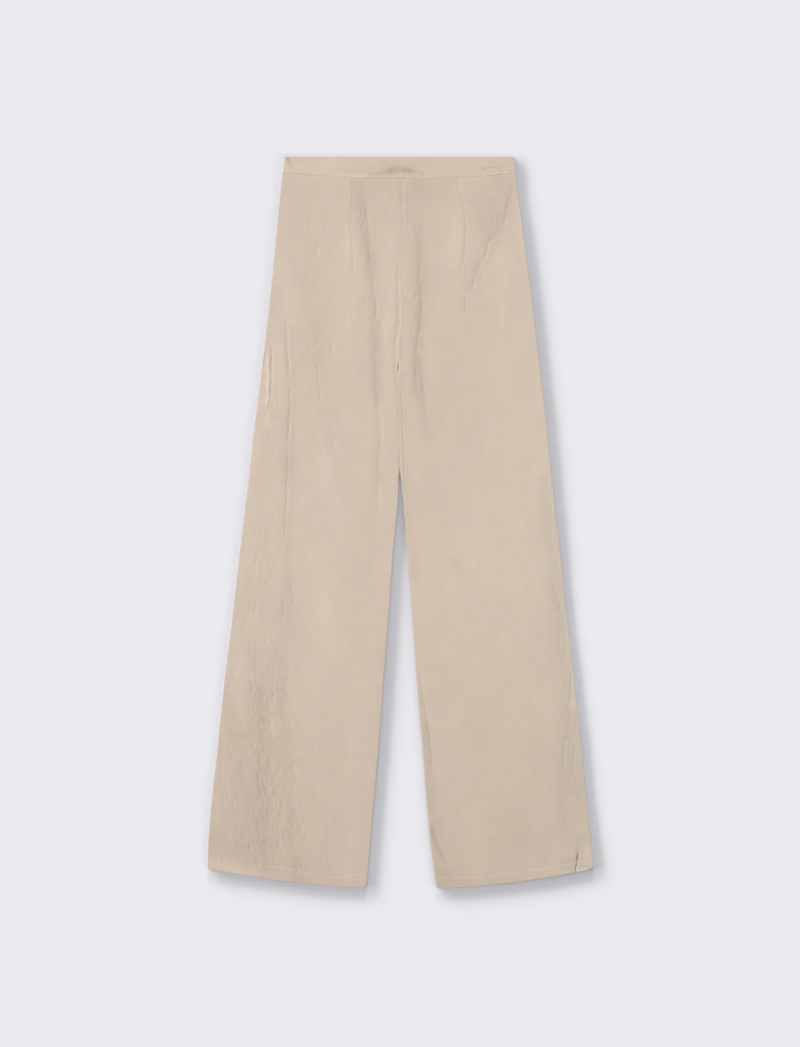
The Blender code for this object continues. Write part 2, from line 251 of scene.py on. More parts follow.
def cloth_finish(name, colour, roughness, bump, hem_shade=1.0):
    """One finish of the cloth: its colour with soft patches, its painted light and shade, its weave and its
    dull sheen.
    """
    material = bpy.data.materials.new(name)
    material.use_nodes = True
    tree = material.node_tree
    shader = tree.nodes["Principled BSDF"]
    shader.inputs["Specular IOR Level"].default_value = 0.25
    shader.inputs["Sheen Weight"].default_value = 0.10
    shader.inputs["Sheen Roughness"].default_value = 0.45
    point = tree.nodes.new("ShaderNodeTexCoord").outputs["Object"]
    weave = shader_node(tree, "Group", {"Point": point, "Crushed": look_of(tree, "crushed")},
                        node_tree=crepe_weave)

    place = shader_node(tree, "SeparateXYZ", {"Vector": point})
    patches = stretched_noise(tree, point, TONE_PATCH, (0.7, 1.6), 3.0)
    mottle = stretched_noise(tree, point, MOTTLE, (0.9, 1.5), 3.0)
    # Tone: random patches and mottle, the weave, darker towards the hems, and the tone look, which is
    # painted light and shade.
    tone = product(
        tree,
        ramp(tree, patches, 0.25, 0.75, 1.0 - PATCH_TONE, 1.0 + PATCH_TONE),
        ramp(tree, mottle, 0.28, 0.72, 1.0 - MOTTLE_TONE, 1.0 + MOTTLE_TONE),
        weave.outputs["Tone"],
        ramp(tree, place.outputs["Y"], SHADE_TO, SHADE_FROM, hem_shade, 1.0),
        look_of(tree, "tone"),
    )
    # The pink or grey tint: random patches, and the tint look, which is partly a painted warm tint of
    # shade.
    stray = stretched_noise(tree, point, DYE_PATCH, (0.9, 1.3), 2.0)
    stray = ramp(tree, stray, 0.28, 0.72, -DYE_STRAY, DYE_STRAY)
    pinkness = weighed_sum(tree, 0.5, (stray, 0.5), (look_of(tree, "dye"), 0.5))
    dye = shader_node(tree, "Mix", {"Factor": pinkness, MIX_FIRST: GREY_TINT, MIX_SECOND: PINK_TINT},
                      data_type="RGBA")
    dyed = shader_node(tree, "VectorMath", {0: dye.outputs[MIX_RESULT], 1: colour}, operation="MULTIPLY")
    gloss = ramp(tree, patches, 0.25, 0.75, roughness - PATCH_GLOSS, roughness + PATCH_GLOSS)
    heights = {"Strength": 1.0, "Distance": bump, "Height": weave.outputs["Height"]}
    relief = shader_node(tree, "Bump", heights)
    tree.links.new(scaled_colour(tree, dyed.outputs["Vector"], tone), shader.inputs["Base Color"])
    tree.links.new(gloss, shader.inputs["Roughness"])
    tree.links.new(relief.outputs["Normal"], shader.inputs["Normal"])
    return material


crepe_face = cloth_finish("beige crepe face", FACE_COLOUR, roughness=0.62, bump=0.00016,
                          hem_shade=HEM_SHADE)
satin_back = cloth_finish("beige satin back", BACK_COLOUR, roughness=0.38, bump=0.00004)

# ---------------------------------------------------------------- the two back panels
# Each back panel is one length of cloth from waist to hem, with a dart, and with its hem turned
# up and stitched.  They lie on top, are sewn to each other down the centre back, and meet the
# front panels at the side seams and the inseams.

MM = 0.001
WALL = 0.0008             # the cloth with its seam allowances
EDGE_RADIUS = 0.0022      # half the height of the roll where the cloth turns over
EDGE_WIDTH = 0.0002       # how far the roll comes in from the edge: the fold is pressed
TOP_HEIGHT = 2 * EDGE_RADIUS
LIP = 0.0002              # the last of the flat before a roll, so that the cloth stays flat up to it
SEAM_GAP = 0.00003
WAIST_TOP = 0.5400
WAIST_HALF = 0.1700
WAIST_SEAM_CENTRE = 0.5074
WAIST_SEAM_SIDE = 0.5155
HEM_LEVEL = -0.5300
HEM_WIDTH = 0.2350
PARTING = 0.0900          # the legs lie against each other down to here
TURN_LENGTH = 0.0500
LEAST_TURN = 0.000001
NORMAL_STEP = 0.00002
LEFT = -1
RIGHT = 1
ROLL_ARC = EDGE_RADIUS * math.pi / 2
FULL_TURN = math.pi / 2
PANEL_LENGTH = WAIST_SEAM_SIDE - HEM_LEVEL

# The cut: the edges of both legs in X at each height, and how far each front panel comes round
# the outer edge, measured along the cloth.
EDGE_WRAP = 0.0015        # the seam lies on the outer edge itself
Section = namedtuple("Section", "y outer_left inner_left inner_right outer_right wrap_left wrap_right",
                     defaults=(EDGE_WRAP, EDGE_WRAP))
SECTIONS = (
    Section(0.540, -0.1706, 0.0044, 0.0044, 0.1676),
    Section(0.505, -0.1752, 0.0044, 0.0044, 0.1706),
    Section(0.430, -0.1828, 0.0040, 0.0040, 0.1808),
    Section(0.330, -0.1927, 0.0000, 0.0000, 0.1938),
    Section(0.228, -0.2046, -0.0030, -0.0030, 0.2060),
    Section(0.122, -0.2179, -0.0014, -0.0014, 0.2179),
    Section(0.084, -0.2220, -0.0009, -0.0009, 0.2217),
    Section(0.072, -0.2232, -0.0015, -0.0002, 0.2230),
    Section(0.033, -0.2280, -0.0039, 0.0036, 0.2267),
    Section(-0.026, -0.2352, -0.0096, 0.0085, 0.2336),
    Section(-0.144, -0.2487, -0.0182, 0.0176, 0.2462),
    Section(-0.262, -0.2630, -0.0275, 0.0262, 0.2595, 0.0015, 0.0100),
    Section(-0.340, -0.2708, -0.0333, 0.0332, 0.2682, 0.0100, 0.0215),
    Section(-0.420, -0.2796, -0.0402, 0.0392, 0.2756, 0.0200, 0.0240),
    Section(-0.480, -0.2840, -0.0455, 0.0450, 0.2822, 0.0240, 0.0240),
    Section(-0.540, -0.2850, -0.0508, 0.0535, 0.2886, 0.0280, 0.0310),
)
Hem = namedtuple("Hem", "across left right")
HEMS = (
    Hem(0.00, -0.5386, -0.5404),
    Hem(0.25, -0.5361, -0.5370),
    Hem(0.50, -0.5300, -0.5308),
    Hem(0.75, -0.5209, -0.5219),
    Hem(1.00, -0.5122, -0.5094),
)
CORNER_LIFT = 0.0030
CORNER_REACH = 0.0065

# The turn-up of each hem, from its inner corner to its outer one: it was pressed unevenly.
TurnUp = namedtuple("TurnUp", "across left right")
TURN_UPS = (
    TurnUp(0.00, 0.0170, 0.0145),
    TurnUp(0.20, 0.0148, 0.0125),
    TurnUp(0.40, 0.0165, 0.0150),
    TurnUp(0.60, 0.0215, 0.0155),
    TurnUp(0.80, 0.0240, 0.0140),
    TurnUp(1.00, 0.0180, 0.0160),
)
TURN_UP_RISE = 0.00016    # the turned-up cloth lifts the hem by its own thickness
TURN_UP_EASE = 0.0040
HEM_GROOVE = 0.00018      # the stitches pull the cloth down along their line
HEM_GROOVE_WIDTH = 0.0010
HEM_GROOVE_LENGTH = 0.0090
HEM_GROOVE_SEED = 21
HEM_PULL = (-0.8, 1.6)    # how hard the stitches pull: not at all where it is below zero
PUCKER = 0.00012
PUCKER_REACH = 0.0060
PUCKER_LENGTH = 0.0040
PUCKER_SEED = 22

# Creases of the top side in millimetres.  depth is below zero for a trough and above for a
# ridge.  low and high are the widths of its left and right flanks, or of its lower and upper
# ones where it runs across the leg.  fade is the length over which it dies out at both ends.
Crease = namedtuple("Crease", "name depth low high fade line")
CREASES = (
    # broad, soft folds
    Crease("left seat trough", -0.55, 9, 20, 60,
           ((-57, 480), (-47, 400), (-40, 340), (-38, 270), (-36, 205), (-32, 60), (-33, -20))),
    Crease("left seat ridge", 0.50, 12, 14, 70,
           ((-22, 440), (-17, 358), (-17, 284), (-18, 200), (-22, 60))),
    Crease("right seat trough", -0.55, 8, 14, 60,
           ((22, 450), (29, 391), (31, 329), (28, 280), (23, 225), (22, 150))),
    Crease("right seat ridge", 0.25, 10, 14, 60, ((45, 370), (47, 300), (48, 240), (46, 150))),
    Crease("right dart bulge", 0.55, 26, 12, 60, ((78, 470), (84, 420), (82, 380), (74, 340))),
    Crease("right hip trough", -0.60, 12, 14, 40,
           ((172, 500), (159, 462), (146, 432), (131, 405), (114, 372), (104, 330))),
    Crease("right hip ridge", 0.30, 9, 16, 70, ((176, 440), (170, 390), (160, 330), (158, 250))),
    Crease("left thigh ridge", 0.60, 10, 9, 60,
           ((-180, 310), (-177, 240), (-175, 166), (-177, 78), (-178, -30))),
    Crease("left thigh trough", -0.45, 12, 16, 80, ((-150, 380), (-137, 300), (-132, 220), (-130, 130))),
    Crease("left calf valley", -0.80, 15, 26, 100,
           ((-208, -150), (-201, -220), (-195, -300), (-188, -380), (-178, -480))),
    Crease("left calf shoulder", 0.50, 26, 30, 120,
           ((-150, -120), (-140, -200), (-132, -300), (-116, -420))),
    Crease("left hem outer dip", -0.50, 12, 26, 40, ((-262, -440), (-262, -470), (-258, -500))),
    Crease("right shin trough", -0.50, 6, 10, 60,
           ((28, -215), (34, -255), (40, -290), (46, -336), (50, -385))),
    Crease("right strip fall", -0.80, 14, 24, 160,
           ((232, 60), (240, -60), (252, -200), (258, -330), (262, -430), (262, -500))),
    Crease("left middle swell", 0.40, 40, 40, 160, ((-90, 300), (-95, 100), (-110, -100), (-120, -300))),
    # clear lines
    Crease("left seat line, upper", -0.46, 1.6, 2.8, 10, ((-54, 474), (-50, 457), (-47.3, 437))),
    Crease("left seat line", -0.60, 1.6, 2.6, 20,
           ((-52, 430), (-47.2, 408), (-43.6, 391), (-40.4, 375), (-39, 360))),
    Crease("left seat line, middle", -0.36, 1.9, 2.6, 26, ((-42, 378), (-39, 343), (-36, 314), (-38, 286))),
    Crease("left seat line, lower", -0.30, 2.4, 3.4, 60,
           ((-38, 290), (-37, 250), (-36, 203), (-33, 163), (-30, 122), (-32, 90), (-33, -11))),
    Crease("right seat line, upper", -0.26, 2.0, 2.4, 14, ((20, 450), (23, 430), (25, 415))),
    Crease("right seat line", -0.42, 2.0, 2.6, 30,
           ((26, 412), (29, 391), (29, 358), (32, 329), (29, 284), (24, 255), (23, 225), (22, 188))),
    Crease("right seat branch", -0.24, 2.2, 3.4, 25,
           ((29, 262), (31, 232), (33, 210), (36, 180), (39, 153), (38, 125))),
    Crease("right seat edge", 0.16, 3.5, 6.0, 40, ((40, 330), (43, 290), (45, 250), (47, 203), (45, 150))),
    Crease("centre seam, upper", -0.30, 1.4, 1.8, 10, ((0.8, 510), (1.0, 480), (0.4, 440))),
    Crease("centre seam allowance", 0.34, 1.1, 1.3, 8, ((7.0, 511), (7.4, 490), (8.4, 458))),
    Crease("centre seam allowance, lower", -0.22, 1.1, 1.5, 10, ((11.4, 462), (11.6, 445), (10, 425))),
    Crease("centre groove", -0.42, 1.6, 1.9, 30, ((-4, 392), (-5, 299), (-8, 252), (-7, 218), (-4, 186))),
    Crease("crotch slit", -1.90, 0.9, 0.9, 5, ((-3.6, 235), (-3.2, 228), (-2.9, 219))),
    Crease("inseam, second line", -0.38, 1.2, 1.6, 14,
           ((0.7, 212), (1.5, 184), (3.2, 162), (4.0, 130), (5.2, 104), (6.0, 70), (7.5, 44))),
    Crease("centre lip", 0.32, 2.0, 2.0, 40, ((1, 370), (1, 300), (-2, 256), (0, 200))),
    Crease("hip line, upper", -0.60, 2.6, 2.0, 10, ((169, 500), (161, 471), (155, 449), (144, 426))),
    Crease("hip line, middle", -0.66, 2.4, 2.0, 7,
           ((146, 431), (138, 421), (131, 414), (127, 398), (122, 386))),
    Crease("hip line, lower", -0.54, 2.4, 2.2, 10, ((124, 393), (117, 379), (110, 361), (108, 343))),
    Crease("hip line, tail", -0.34, 1.4, 1.6, 8, ((97, 341), (96.4, 328), (96.6, 304))),
    Crease("pinch ridge", 0.75, 2.2, 1.8, 18, ((-195, 262), (-194, 218), (-196, 178), (-199, 160))),
    Crease("pinch trough", -0.62, 1.6, 1.6, 14, ((-190, 262), (-190, 218), (-191, 178))),
    Crease("pinch trough, outer", -0.40, 1.5, 1.5, 10, ((-197, 254), (-200, 240), (-203, 222))),
    Crease("pinch tail", -0.22, 2.0, 2.0, 16, ((-194, 172), (-196, 151), (-194, 118))),
    Crease("thigh line, upper", -0.54, 1.8, 2.2, 18, ((-169, 304), (-168, 270), (-165, 231), (-163, 205))),
    Crease("thigh line, middle", -0.64, 1.9, 2.4, 18, ((-163, 208), (-163, 163), (-165, 132), (-166, 112))),
    Crease("thigh line, lower", -0.50, 1.6, 2.0, 18, ((-166, 116), (-167, 63), (-168, 33), (-171, -28))),
    Crease("thigh crinkle 1", -0.44, 1.4, 1.6, 8, ((-173, -58), (-169, -68), (-165, -80))),
    Crease("thigh crinkle 2", -0.60, 1.5, 1.7, 9, ((-163, -83), (-160, -100), (-156, -124))),
    Crease("thigh crinkle 3", -0.44, 1.5, 1.5, 9, ((-172, -112), (-173, -130), (-175, -150))),
    Crease("left hip line 1", -0.16, 2.4, 2.4, 14, ((-163, 458), (-158, 445), (-153, 430))),
    Crease("left hip line 2", -0.20, 3.0, 3.0, 24,
           ((-160, 404), (-153, 373), (-144, 351), (-138, 329), (-135, 300))),
    Crease("left hip line 3", -0.32, 1.5, 1.9, 12, ((-139, 284), (-136, 268), (-132, 248))),
    Crease("left hip line 4", -0.44, 1.2, 1.6, 8, ((-124, 238), (-121, 218), (-120, 200), (-118, 178))),
    Crease("left hip line 5", -0.20, 3.0, 3.0, 20, ((-132, 140), (-119, 116), (-107, 74))),
    Crease("left thigh fleck", 0.22, 1.4, 1.4, 10, ((-91, 130), (-89, 110), (-88, 88))),
    Crease("left shin patch", -0.16, 2.0, 2.0, 12, ((-100, 124), (-97, 106), (-94, 90))),
    Crease("inseam edge, upper", -0.40, 1.6, 2.0, 24,
           ((27, -205), (33, -255), (39, -284), (45, -336), (49, -376))),
    Crease("inseam edge, lower", -0.85, 2.2, 3.2, 9, ((47, -450), (53, -470), (61, -488), (74, -509))),
    Crease("inseam lit strip", 0.30, 2.0, 2.0, 24, ((36, -290), (40, -320), (43, -352))),
    Crease("calf crease 1", -0.50, 1.7, 2.0, 12, ((-213, -378), (-204, -404), (-196, -430), (-187, -452))),
    Crease("calf crease 2", -0.32, 1.6, 1.8, 10, ((-176, -350), (-168, -366), (-161, -384))),
    Crease("calf crease 3", -0.30, 1.6, 1.8, 10, ((-143, -438), (-138, -456), (-136, -464))),
    Crease("calf crease 4", -0.24, 1.8, 1.8, 10, ((-128, -392), (-122, -402), (-116, -412))),
    Crease("calf crease 5", -0.30, 1.6, 1.8, 12, ((-219, -260), (-215, -285), (-217, -310))),
    Crease("calf crease 6", -0.34, 1.8, 2.0, 14, ((-206, -352), (-202, -380), (-199, -400))),
    Crease("calf crease 7", -0.24, 1.8, 1.8, 10, ((-249, -366), (-246, -382), (-243, -398))),
    Crease("calf crease 8", -0.30, 1.8, 1.8, 12, ((-262, -448), (-256, -460), (-253, -474))),
    Crease("calf crease 9", -0.36, 1.6, 1.9, 9, ((-186, -402), (-176, -416), (-165, -432))),
    Crease("strip crease 1", -0.34, 1.8, 2.2, 18, ((216, 66), (221, 33), (224, 8))),
    Crease("strip crease 2", -0.28, 1.8, 2.2, 14, ((219, -14), (225, -38), (229, -52))),
    Crease("strip crease 3", -0.28, 1.8, 2.2, 14, ((214, -76), (224, -92), (234, -118), (236, -138))),
    Crease("strip crease 4", -0.24, 2.0, 2.0, 14, ((226, -114), (224, -150), (225, -176))),
    Crease("strip crease 5", -0.24, 2.0, 2.0, 14, ((221, -386), (225, -404), (229, -420))),
    Crease("side line, upper", -0.34, 1.8, 2.0, 20, ((253, -212), (250, -280), (247, -316))),
    Crease("side line, lower", -0.36, 1.8, 2.0, 14, ((246, -312), (241, -345), (239, -376))),
    Crease("side line, second", -0.34, 1.7, 1.9, 10, ((259, -330), (256, -352), (253, -376))),
    Crease("slit shade", -0.40, 3.2, 3.2, 14, ((264, -456), (264, -478), (261, -498))),
    Crease("hem crease", -0.36, 1.2, 1.4, 7, ((230, -504), (244, -502), (259, -500))),
    Crease("side slit", -1.80, 0.9, 1.0, 5, ((262.6, -487), (261, -498), (258.3, -519))),
    Crease("left hem line", -0.40, 0.9, 0.9, 10, ((-228, -502), (-200, -506), (-165, -508), (-148, -510))),
    Crease("left hem line, middle", -0.44, 0.9, 1.0, 5,
           ((-160, -508), (-150, -509.5), (-140, -514), (-130, -517.5), (-116, -519.5))),
    Crease("left hem line, thin", -0.22, 0.9, 0.9, 6, ((-124, -518.5), (-108, -520.5), (-88, -521))),
    Crease("left hem line, inner", -0.40, 0.9, 1.0, 7,
           ((-96, -521.5), (-82, -520.8), (-68, -518), (-54, -517))),
    Crease("right hem line", 0.40, 0.8, 0.9, 8, ((60, -525.2), (85, -525.8), (114, -525.2))),
    Crease("hem pucker 1", -0.34, 1.0, 1.2, 6, ((-201, -495), (-199, -510), (-195, -526))),
    Crease("hem pucker 2", -0.36, 1.1, 1.3, 6, ((-160, -496), (-154, -508), (-149, -522))),
    Crease("hem pucker 3", -0.30, 1.0, 1.2, 5, ((-147, -499), (-145, -509), (-143, -519))),
    Crease("hem pucker 4", -0.34, 1.0, 1.2, 4, ((-154, -512), (-151, -522), (-149, -533))),
    Crease("hem pucker 5", -0.30, 1.0, 1.2, 4, ((-145, -514), (-143, -524), (-142, -534))),
)
UNEVEN = 0.55             # how much the depth of a crease varies along its line
UNEVEN_LENGTH = 0.0045    # from one change to the next, for each millimetre of its width
UNEVEN_SEED = 1000        # added to the number of the crease
WANDER = 0.0008           # how far a crease strays from its line
WANDER_LENGTH = 0.0035
LOOSE_REACH = 0.65        # how far from the middle of the garment a loose curve runs
SOFT_SIZE = 0.055         # the slight unevenness of cloth that lies loose
SOFT_HEIGHT = 0.00030

# The two darts: stitched from the waist to a point, and pressed towards the centre.
DARTS = (
    Crease("left dart", 0.36, 1.0, 1.0, 10, ((-76, 516), (-75.4, 498), (-74.6, 470), (-74, 436))),
    Crease("left dart, lower", -0.40, 0.9, 1.6, 14,
           ((-74, 448), (-73.2, 430), (-71.5, 412), (-69.5, 390), (-67.5, 366))),
    Crease("left dart end", -0.30, 0.8, 0.8, 4, ((-80, 506.6), (-68, 506.4), (-57, 506.8))),
    Crease("left dart fold", 0.22, 5.0, 1.6, 30, ((-78, 500), (-77, 440), (-75, 400), (-73, 366))),
    Crease("right dart", -0.28, 1.0, 1.5, 8, ((84, 514), (86, 494), (90, 480), (94, 466))),
    Crease("right dart nick", -0.36, 1.5, 1.7, 4, ((91, 478), (95, 472), (98.5, 466))),
    Crease("right dart, lower", -0.36, 1.0, 1.8, 22,
           ((92, 466), (97, 439), (96, 415), (94, 391), (89, 364))),
    Crease("right dart fold", 0.22, 6.0, 1.8, 30, ((88, 484), (90, 466), (93, 436), (91, 400), (88, 370))),
)

# Bands of short crinkles where the cloth was crushed.  spread is how far they lie from the line,
# tilt is how far they lean and scatter how much one leans more than another, in degrees.
Crinkles = namedtuple("Crinkles", "name count spread length width depth tilt scatter line")
CRINKLES = (
    Crinkles("left thigh edge", 60, 13, 12, 1.0, 0.22, 4, 11,
             ((-180, 300), (-172, 150), (-176, 0), (-176, -60))),
    Crinkles("left calf, upper", 90, 22, 13, 1.0, 0.26, 9, 12, ((-200, 0), (-196, -120), (-194, -210))),
    Crinkles("left calf", 210, 27, 14, 1.1, 0.42, 21, 13,
             ((-203, -170), (-200, -300), (-190, -420), (-185, -500))),
    Crinkles("left calf, low", 110, 34, 15, 1.1, 0.48, 25, 14, ((-208, -340), (-198, -420), (-188, -505))),
    Crinkles("left calf, dents", 62, 29, 28, 3.2, 0.56, 23, 12,
             ((-206, -225), (-200, -310), (-190, -400), (-186, -500))),
    Crinkles("left calf, outer", 96, 14, 14, 1.1, 0.36, 12, 14, ((-242, -220), (-252, -350), (-258, -480))),
    Crinkles("left calf, inner", 60, 26, 14, 1.1, 0.28, 26, 14, ((-140, -330), (-132, -420), (-125, -500))),
    Crinkles("right outer strip", 110, 9, 12, 1.0, 0.23, -6, 11,
             ((220, 66), (228, -60), (238, -160), (246, -300), (250, -460))),
    Crinkles("right calf", 40, 30, 10, 1.1, 0.14, -8, 14, ((190, -120), (200, -300), (200, -480))),
    Crinkles("left hip", 130, 27, 8, 1.0, 0.19, 8, 20,
             ((-150, 480), (-140, 380), (-130, 280), (-120, 150))),
    Crinkles("left hip, dents", 22, 24, 22, 3.0, 0.30, 8, 16,
             ((-150, 470), (-140, 380), (-130, 280), (-120, 150))),
    Crinkles("left seat", 60, 5, 8, 0.9, 0.40, 16, 18, ((-52, 462), (-43, 400), (-39, 330), (-36, 220))),
    Crinkles("left seat, upper", 26, 4, 9, 1.0, 0.50, 18, 16, ((-54, 465), (-47, 410), (-42, 374))),
    Crinkles("right seat", 90, 6, 8, 0.9, 0.40, 6, 34,
             ((24, 440), (28, 380), (28, 300), (24, 220), (36, 150))),
    Crinkles("right seat, deep", 26, 3.5, 9, 1.0, 0.50, 4, 24,
             ((27, 405), (30, 370), (31, 320), (28, 270))),
    Crinkles("right hip", 76, 9, 10, 1.0, 0.30, -24, 20, ((164, 480), (142, 425), (120, 380), (100, 330))),
    Crinkles("left dart", 16, 7, 7, 1.0, 0.26, 4, 16, ((-78, 500), (-76, 478))),
    Crinkles("right dart", 34, 11, 7, 1.0, 0.22, 10, 40, ((98, 480), (106, 440))),
    Crinkles("right rim", 24, 4, 10, 1.0, 0.20, -5, 9, ((186, 300), (194, 250), (196, 200))),
)
CRINKLE_SEED = 11
CRINKLE_LENGTHS = (0.45, 1.5)     # the least and the most, as shares of what the table says
CRINKLE_WIDTHS = (0.75, 1.5)
CRINKLE_DEPTHS = (-1.6, 0.9)      # more are troughs than ridges
CRINKLE_BOW = 0.5                 # how far a crinkle bends aside, as a share of its width
CRINKLE_TURN = 5.0                # how far the bend has gone round at the end of its length

# Broad bands where the cloth is finely crushed all over.
Crushed = namedtuple("Crushed", "strength spread line")
CRUSHED = (
    Crushed(1.00, 40, ((-205, 0), (-200, -200), (-190, -350), (-185, -520))),
    Crushed(0.65, 16, ((222, 70), (232, -100), (246, -300), (255, -500))),
    Crushed(0.40, 30, ((-150, 480), (-135, 300), (-165, 150), (-180, 20))),
    Crushed(0.45, 12, ((18, 440), (30, 330), (24, 220), (38, 140))),
    Crushed(0.35, 12, ((166, 490), (142, 425), (110, 350))),
)

# Broad bands of painted light (change above zero) and painted shade, which stand in for the light and shade
# on the folds, troughs, slit and hems.
Tone = namedtuple("Tone", "change spread line")
PAINTED_LIGHT_AND_SHADE = (
    # below the waist
    Tone(-0.048, 24, ((-50, 494), (45, 494))),
    Tone(-0.025, 20, ((70, 490), (90, 460))),
    Tone(-0.020, 30, ((-150, 480), (-110, 470))),
    Tone(-0.044, 18, ((108, 490), (117, 440))),
    Tone(-0.060, 3, ((100, 473), (105, 474))),
    Tone(-0.046, 15, ((148, 502), (130, 444))),
    Tone(0.045, 7, ((172, 505), (178, 450), (184, 400))),
    # the seat, left of the centre seam
    Tone(-0.066, 11, ((-66, 500), (-61, 465), (-54, 430), (-47, 395), (-44, 372))),
    Tone(-0.050, 7,
         ((-56, 470), (-48, 425), (-42, 390), (-41, 350), (-38, 310), (-37, 230), (-34, 130), (-32, 60))),
    Tone(-0.055, 8, ((-34, 290), (-33, 240), (-34, 180))),
    Tone(-0.022, 9, ((-24, 450), (-27, 408))),
    Tone(0.055, 9, ((-16, 428), (-14, 400), (-13, 360), (-15, 295))),
    Tone(0.020, 9, ((-19, 300), (-18, 220), (-18, 170))),
    Tone(0.040, 8, ((-44, 180), (-40, 110))),
    Tone(0.065, 4, ((-78, 436), (-75, 400))),
    Tone(0.030, 20, ((-78, 400), (-78, 300), (-74, 200), (-70, 150))),
    # the seat, right of it
    Tone(-0.028, 9, ((8, 475), (12, 420), (16, 370), (20, 310))),
    Tone(-0.022, 9, ((7, 478), (9, 440))),
    Tone(-0.050, 12, ((25, 500), (32, 440), (34, 380), (33, 300), (30, 240), (32, 190))),
    Tone(-0.070, 7,
         ((25, 435), (27, 412), (29, 391), (29, 358), (30, 329), (27, 284), (22, 240), (22, 190))),
    Tone(-0.060, 7, ((27, 235), (30, 203), (33, 165), (38, 130))),
    Tone(-0.030, 18, ((40, 160), (46, 130))),
    Tone(-0.060, 7, ((1, 215), (2, 160), (5, 90), (8, 50))),
    Tone(0.030, 8, ((56, 260), (52, 215))),
    # right hip and thigh
    Tone(0.045, 12, ((84, 435), (82, 380))),
    Tone(-0.065, 8, ((168, 495), (154, 445), (138, 412), (122, 380), (110, 345))),
    Tone(-0.030, 10, ((98, 345), (94, 285))),
    Tone(0.040, 12, ((148, 385), (142, 330))),
    Tone(0.050, 13, ((176, 290), (176, 255))),
    Tone(0.020, 20, ((165, 380), (160, 300), (155, 200))),
    Tone(0.035, 34, ((178, 160), (150, 60), (140, -70))),
    Tone(0.035, 12, ((200, 75), (196, 15))),
    # left hip and thigh
    Tone(0.045, 12, ((-178, 385), (-168, 350), (-155, 300))),
    Tone(0.045, 6, ((-178, 260), (-176, 230), (-170, 170))),
    Tone(0.030, 10, ((-196, 220), (-212, 150), (-216, 100), (-222, 0), (-226, -60))),
    Tone(0.070, 3, ((-195, 252), (-195, 190), (-198, 140))),
    Tone(-0.045, 4, ((-158, 290), (-157, 200), (-160, 130), (-164, 60))),
    Tone(-0.025, 14, ((-134, 360), (-134, 240))),
    Tone(0.035, 9, ((-148, 205), (-147, 108))),
    Tone(-0.035, 9, ((-108, 142), (-104, 110))),
    Tone(-0.048, 12, ((-124, 290), (-120, 230), (-118, 165))),
    Tone(-0.032, 8, ((-162, 90), (-165, 0), (-168, -60), (-168, -150))),
    Tone(0.032, 20, ((-118, 100), (-95, 20), (-90, -60), (-94, -180))),
    # left calf
    Tone(-0.028, 28, ((-214, -110), (-180, -150), (-150, -85))),
    Tone(-0.050, 9, ((-221, -188), (-218, -206))),
    Tone(-0.084, 16, ((-212, -250), (-206, -320), (-202, -400), (-198, -500))),
    Tone(-0.064, 14, ((-182, -200), (-172, -290), (-170, -380), (-163, -440), (-158, -480), (-150, -524))),
    Tone(-0.055, 18, ((-240, -320), (-234, -400), (-226, -476))),
    Tone(-0.040, 12, ((-280, -462), (-240, -484))),
    Tone(0.030, 12, ((-240, -200), (-243, -260))),
    Tone(-0.035, 10, ((-258, -255), (-250, -310))),
    Tone(0.040, 20, ((-122, -60), (-112, -180), (-110, -300), (-114, -390))),
    Tone(0.026, 30, ((-60, -240), (-55, -400), (-80, -500))),
    Tone(0.110, 9, ((-284, -503), (-250, -511), (-215, -520))),
    Tone(-0.030, 7, ((-156, -500), (-148, -530))),
    Tone(0.045, 1.2, ((62, -525.0), (118, -525.0))),
    Tone(-0.045, 2.0, ((68, -528.4), (112, -528.4))),
    Tone(0.055, 1.4, ((190, -512.5), (205, -511.5), (226, -509.5))),
    Tone(-0.040, 7, ((-180, -534), (-100, -539))),
    # right calf
    Tone(-0.045, 8, ((9, 30), (14, -20), (22, -80))),
    Tone(-0.045, 12, ((208, 60), (222, -60), (232, -170), (240, -260), (240, -360), (238, -450))),
    Tone(-0.035, 9, ((258, -280), (262, -340), (266, -440))),
    Tone(-0.070, 9, ((36, -300), (40, -360), (45, -420))),
    Tone(-0.055, 12, ((48, -450), (54, -500), (58, -540))),
    Tone(-0.055, 4, ((46, -448), (53, -470), (66, -500))),
    Tone(-0.045, 10, ((60, -536), (130, -538), (170, -532))),
    Tone(0.035, 14, ((108, -430), (112, -508))),
    Tone(-0.045, 9, ((80, -58), (86, -70))),
    Tone(-0.040, 8, ((50, -517), (86, -519))),
    Tone(-0.035, 16, ((185, -462), (215, -482))),
    Tone(-0.075, 9, ((268, -468), (260, -498), (244, -506))),
    Tone(0.060, 7, ((276, -486), (278, -502))),
)

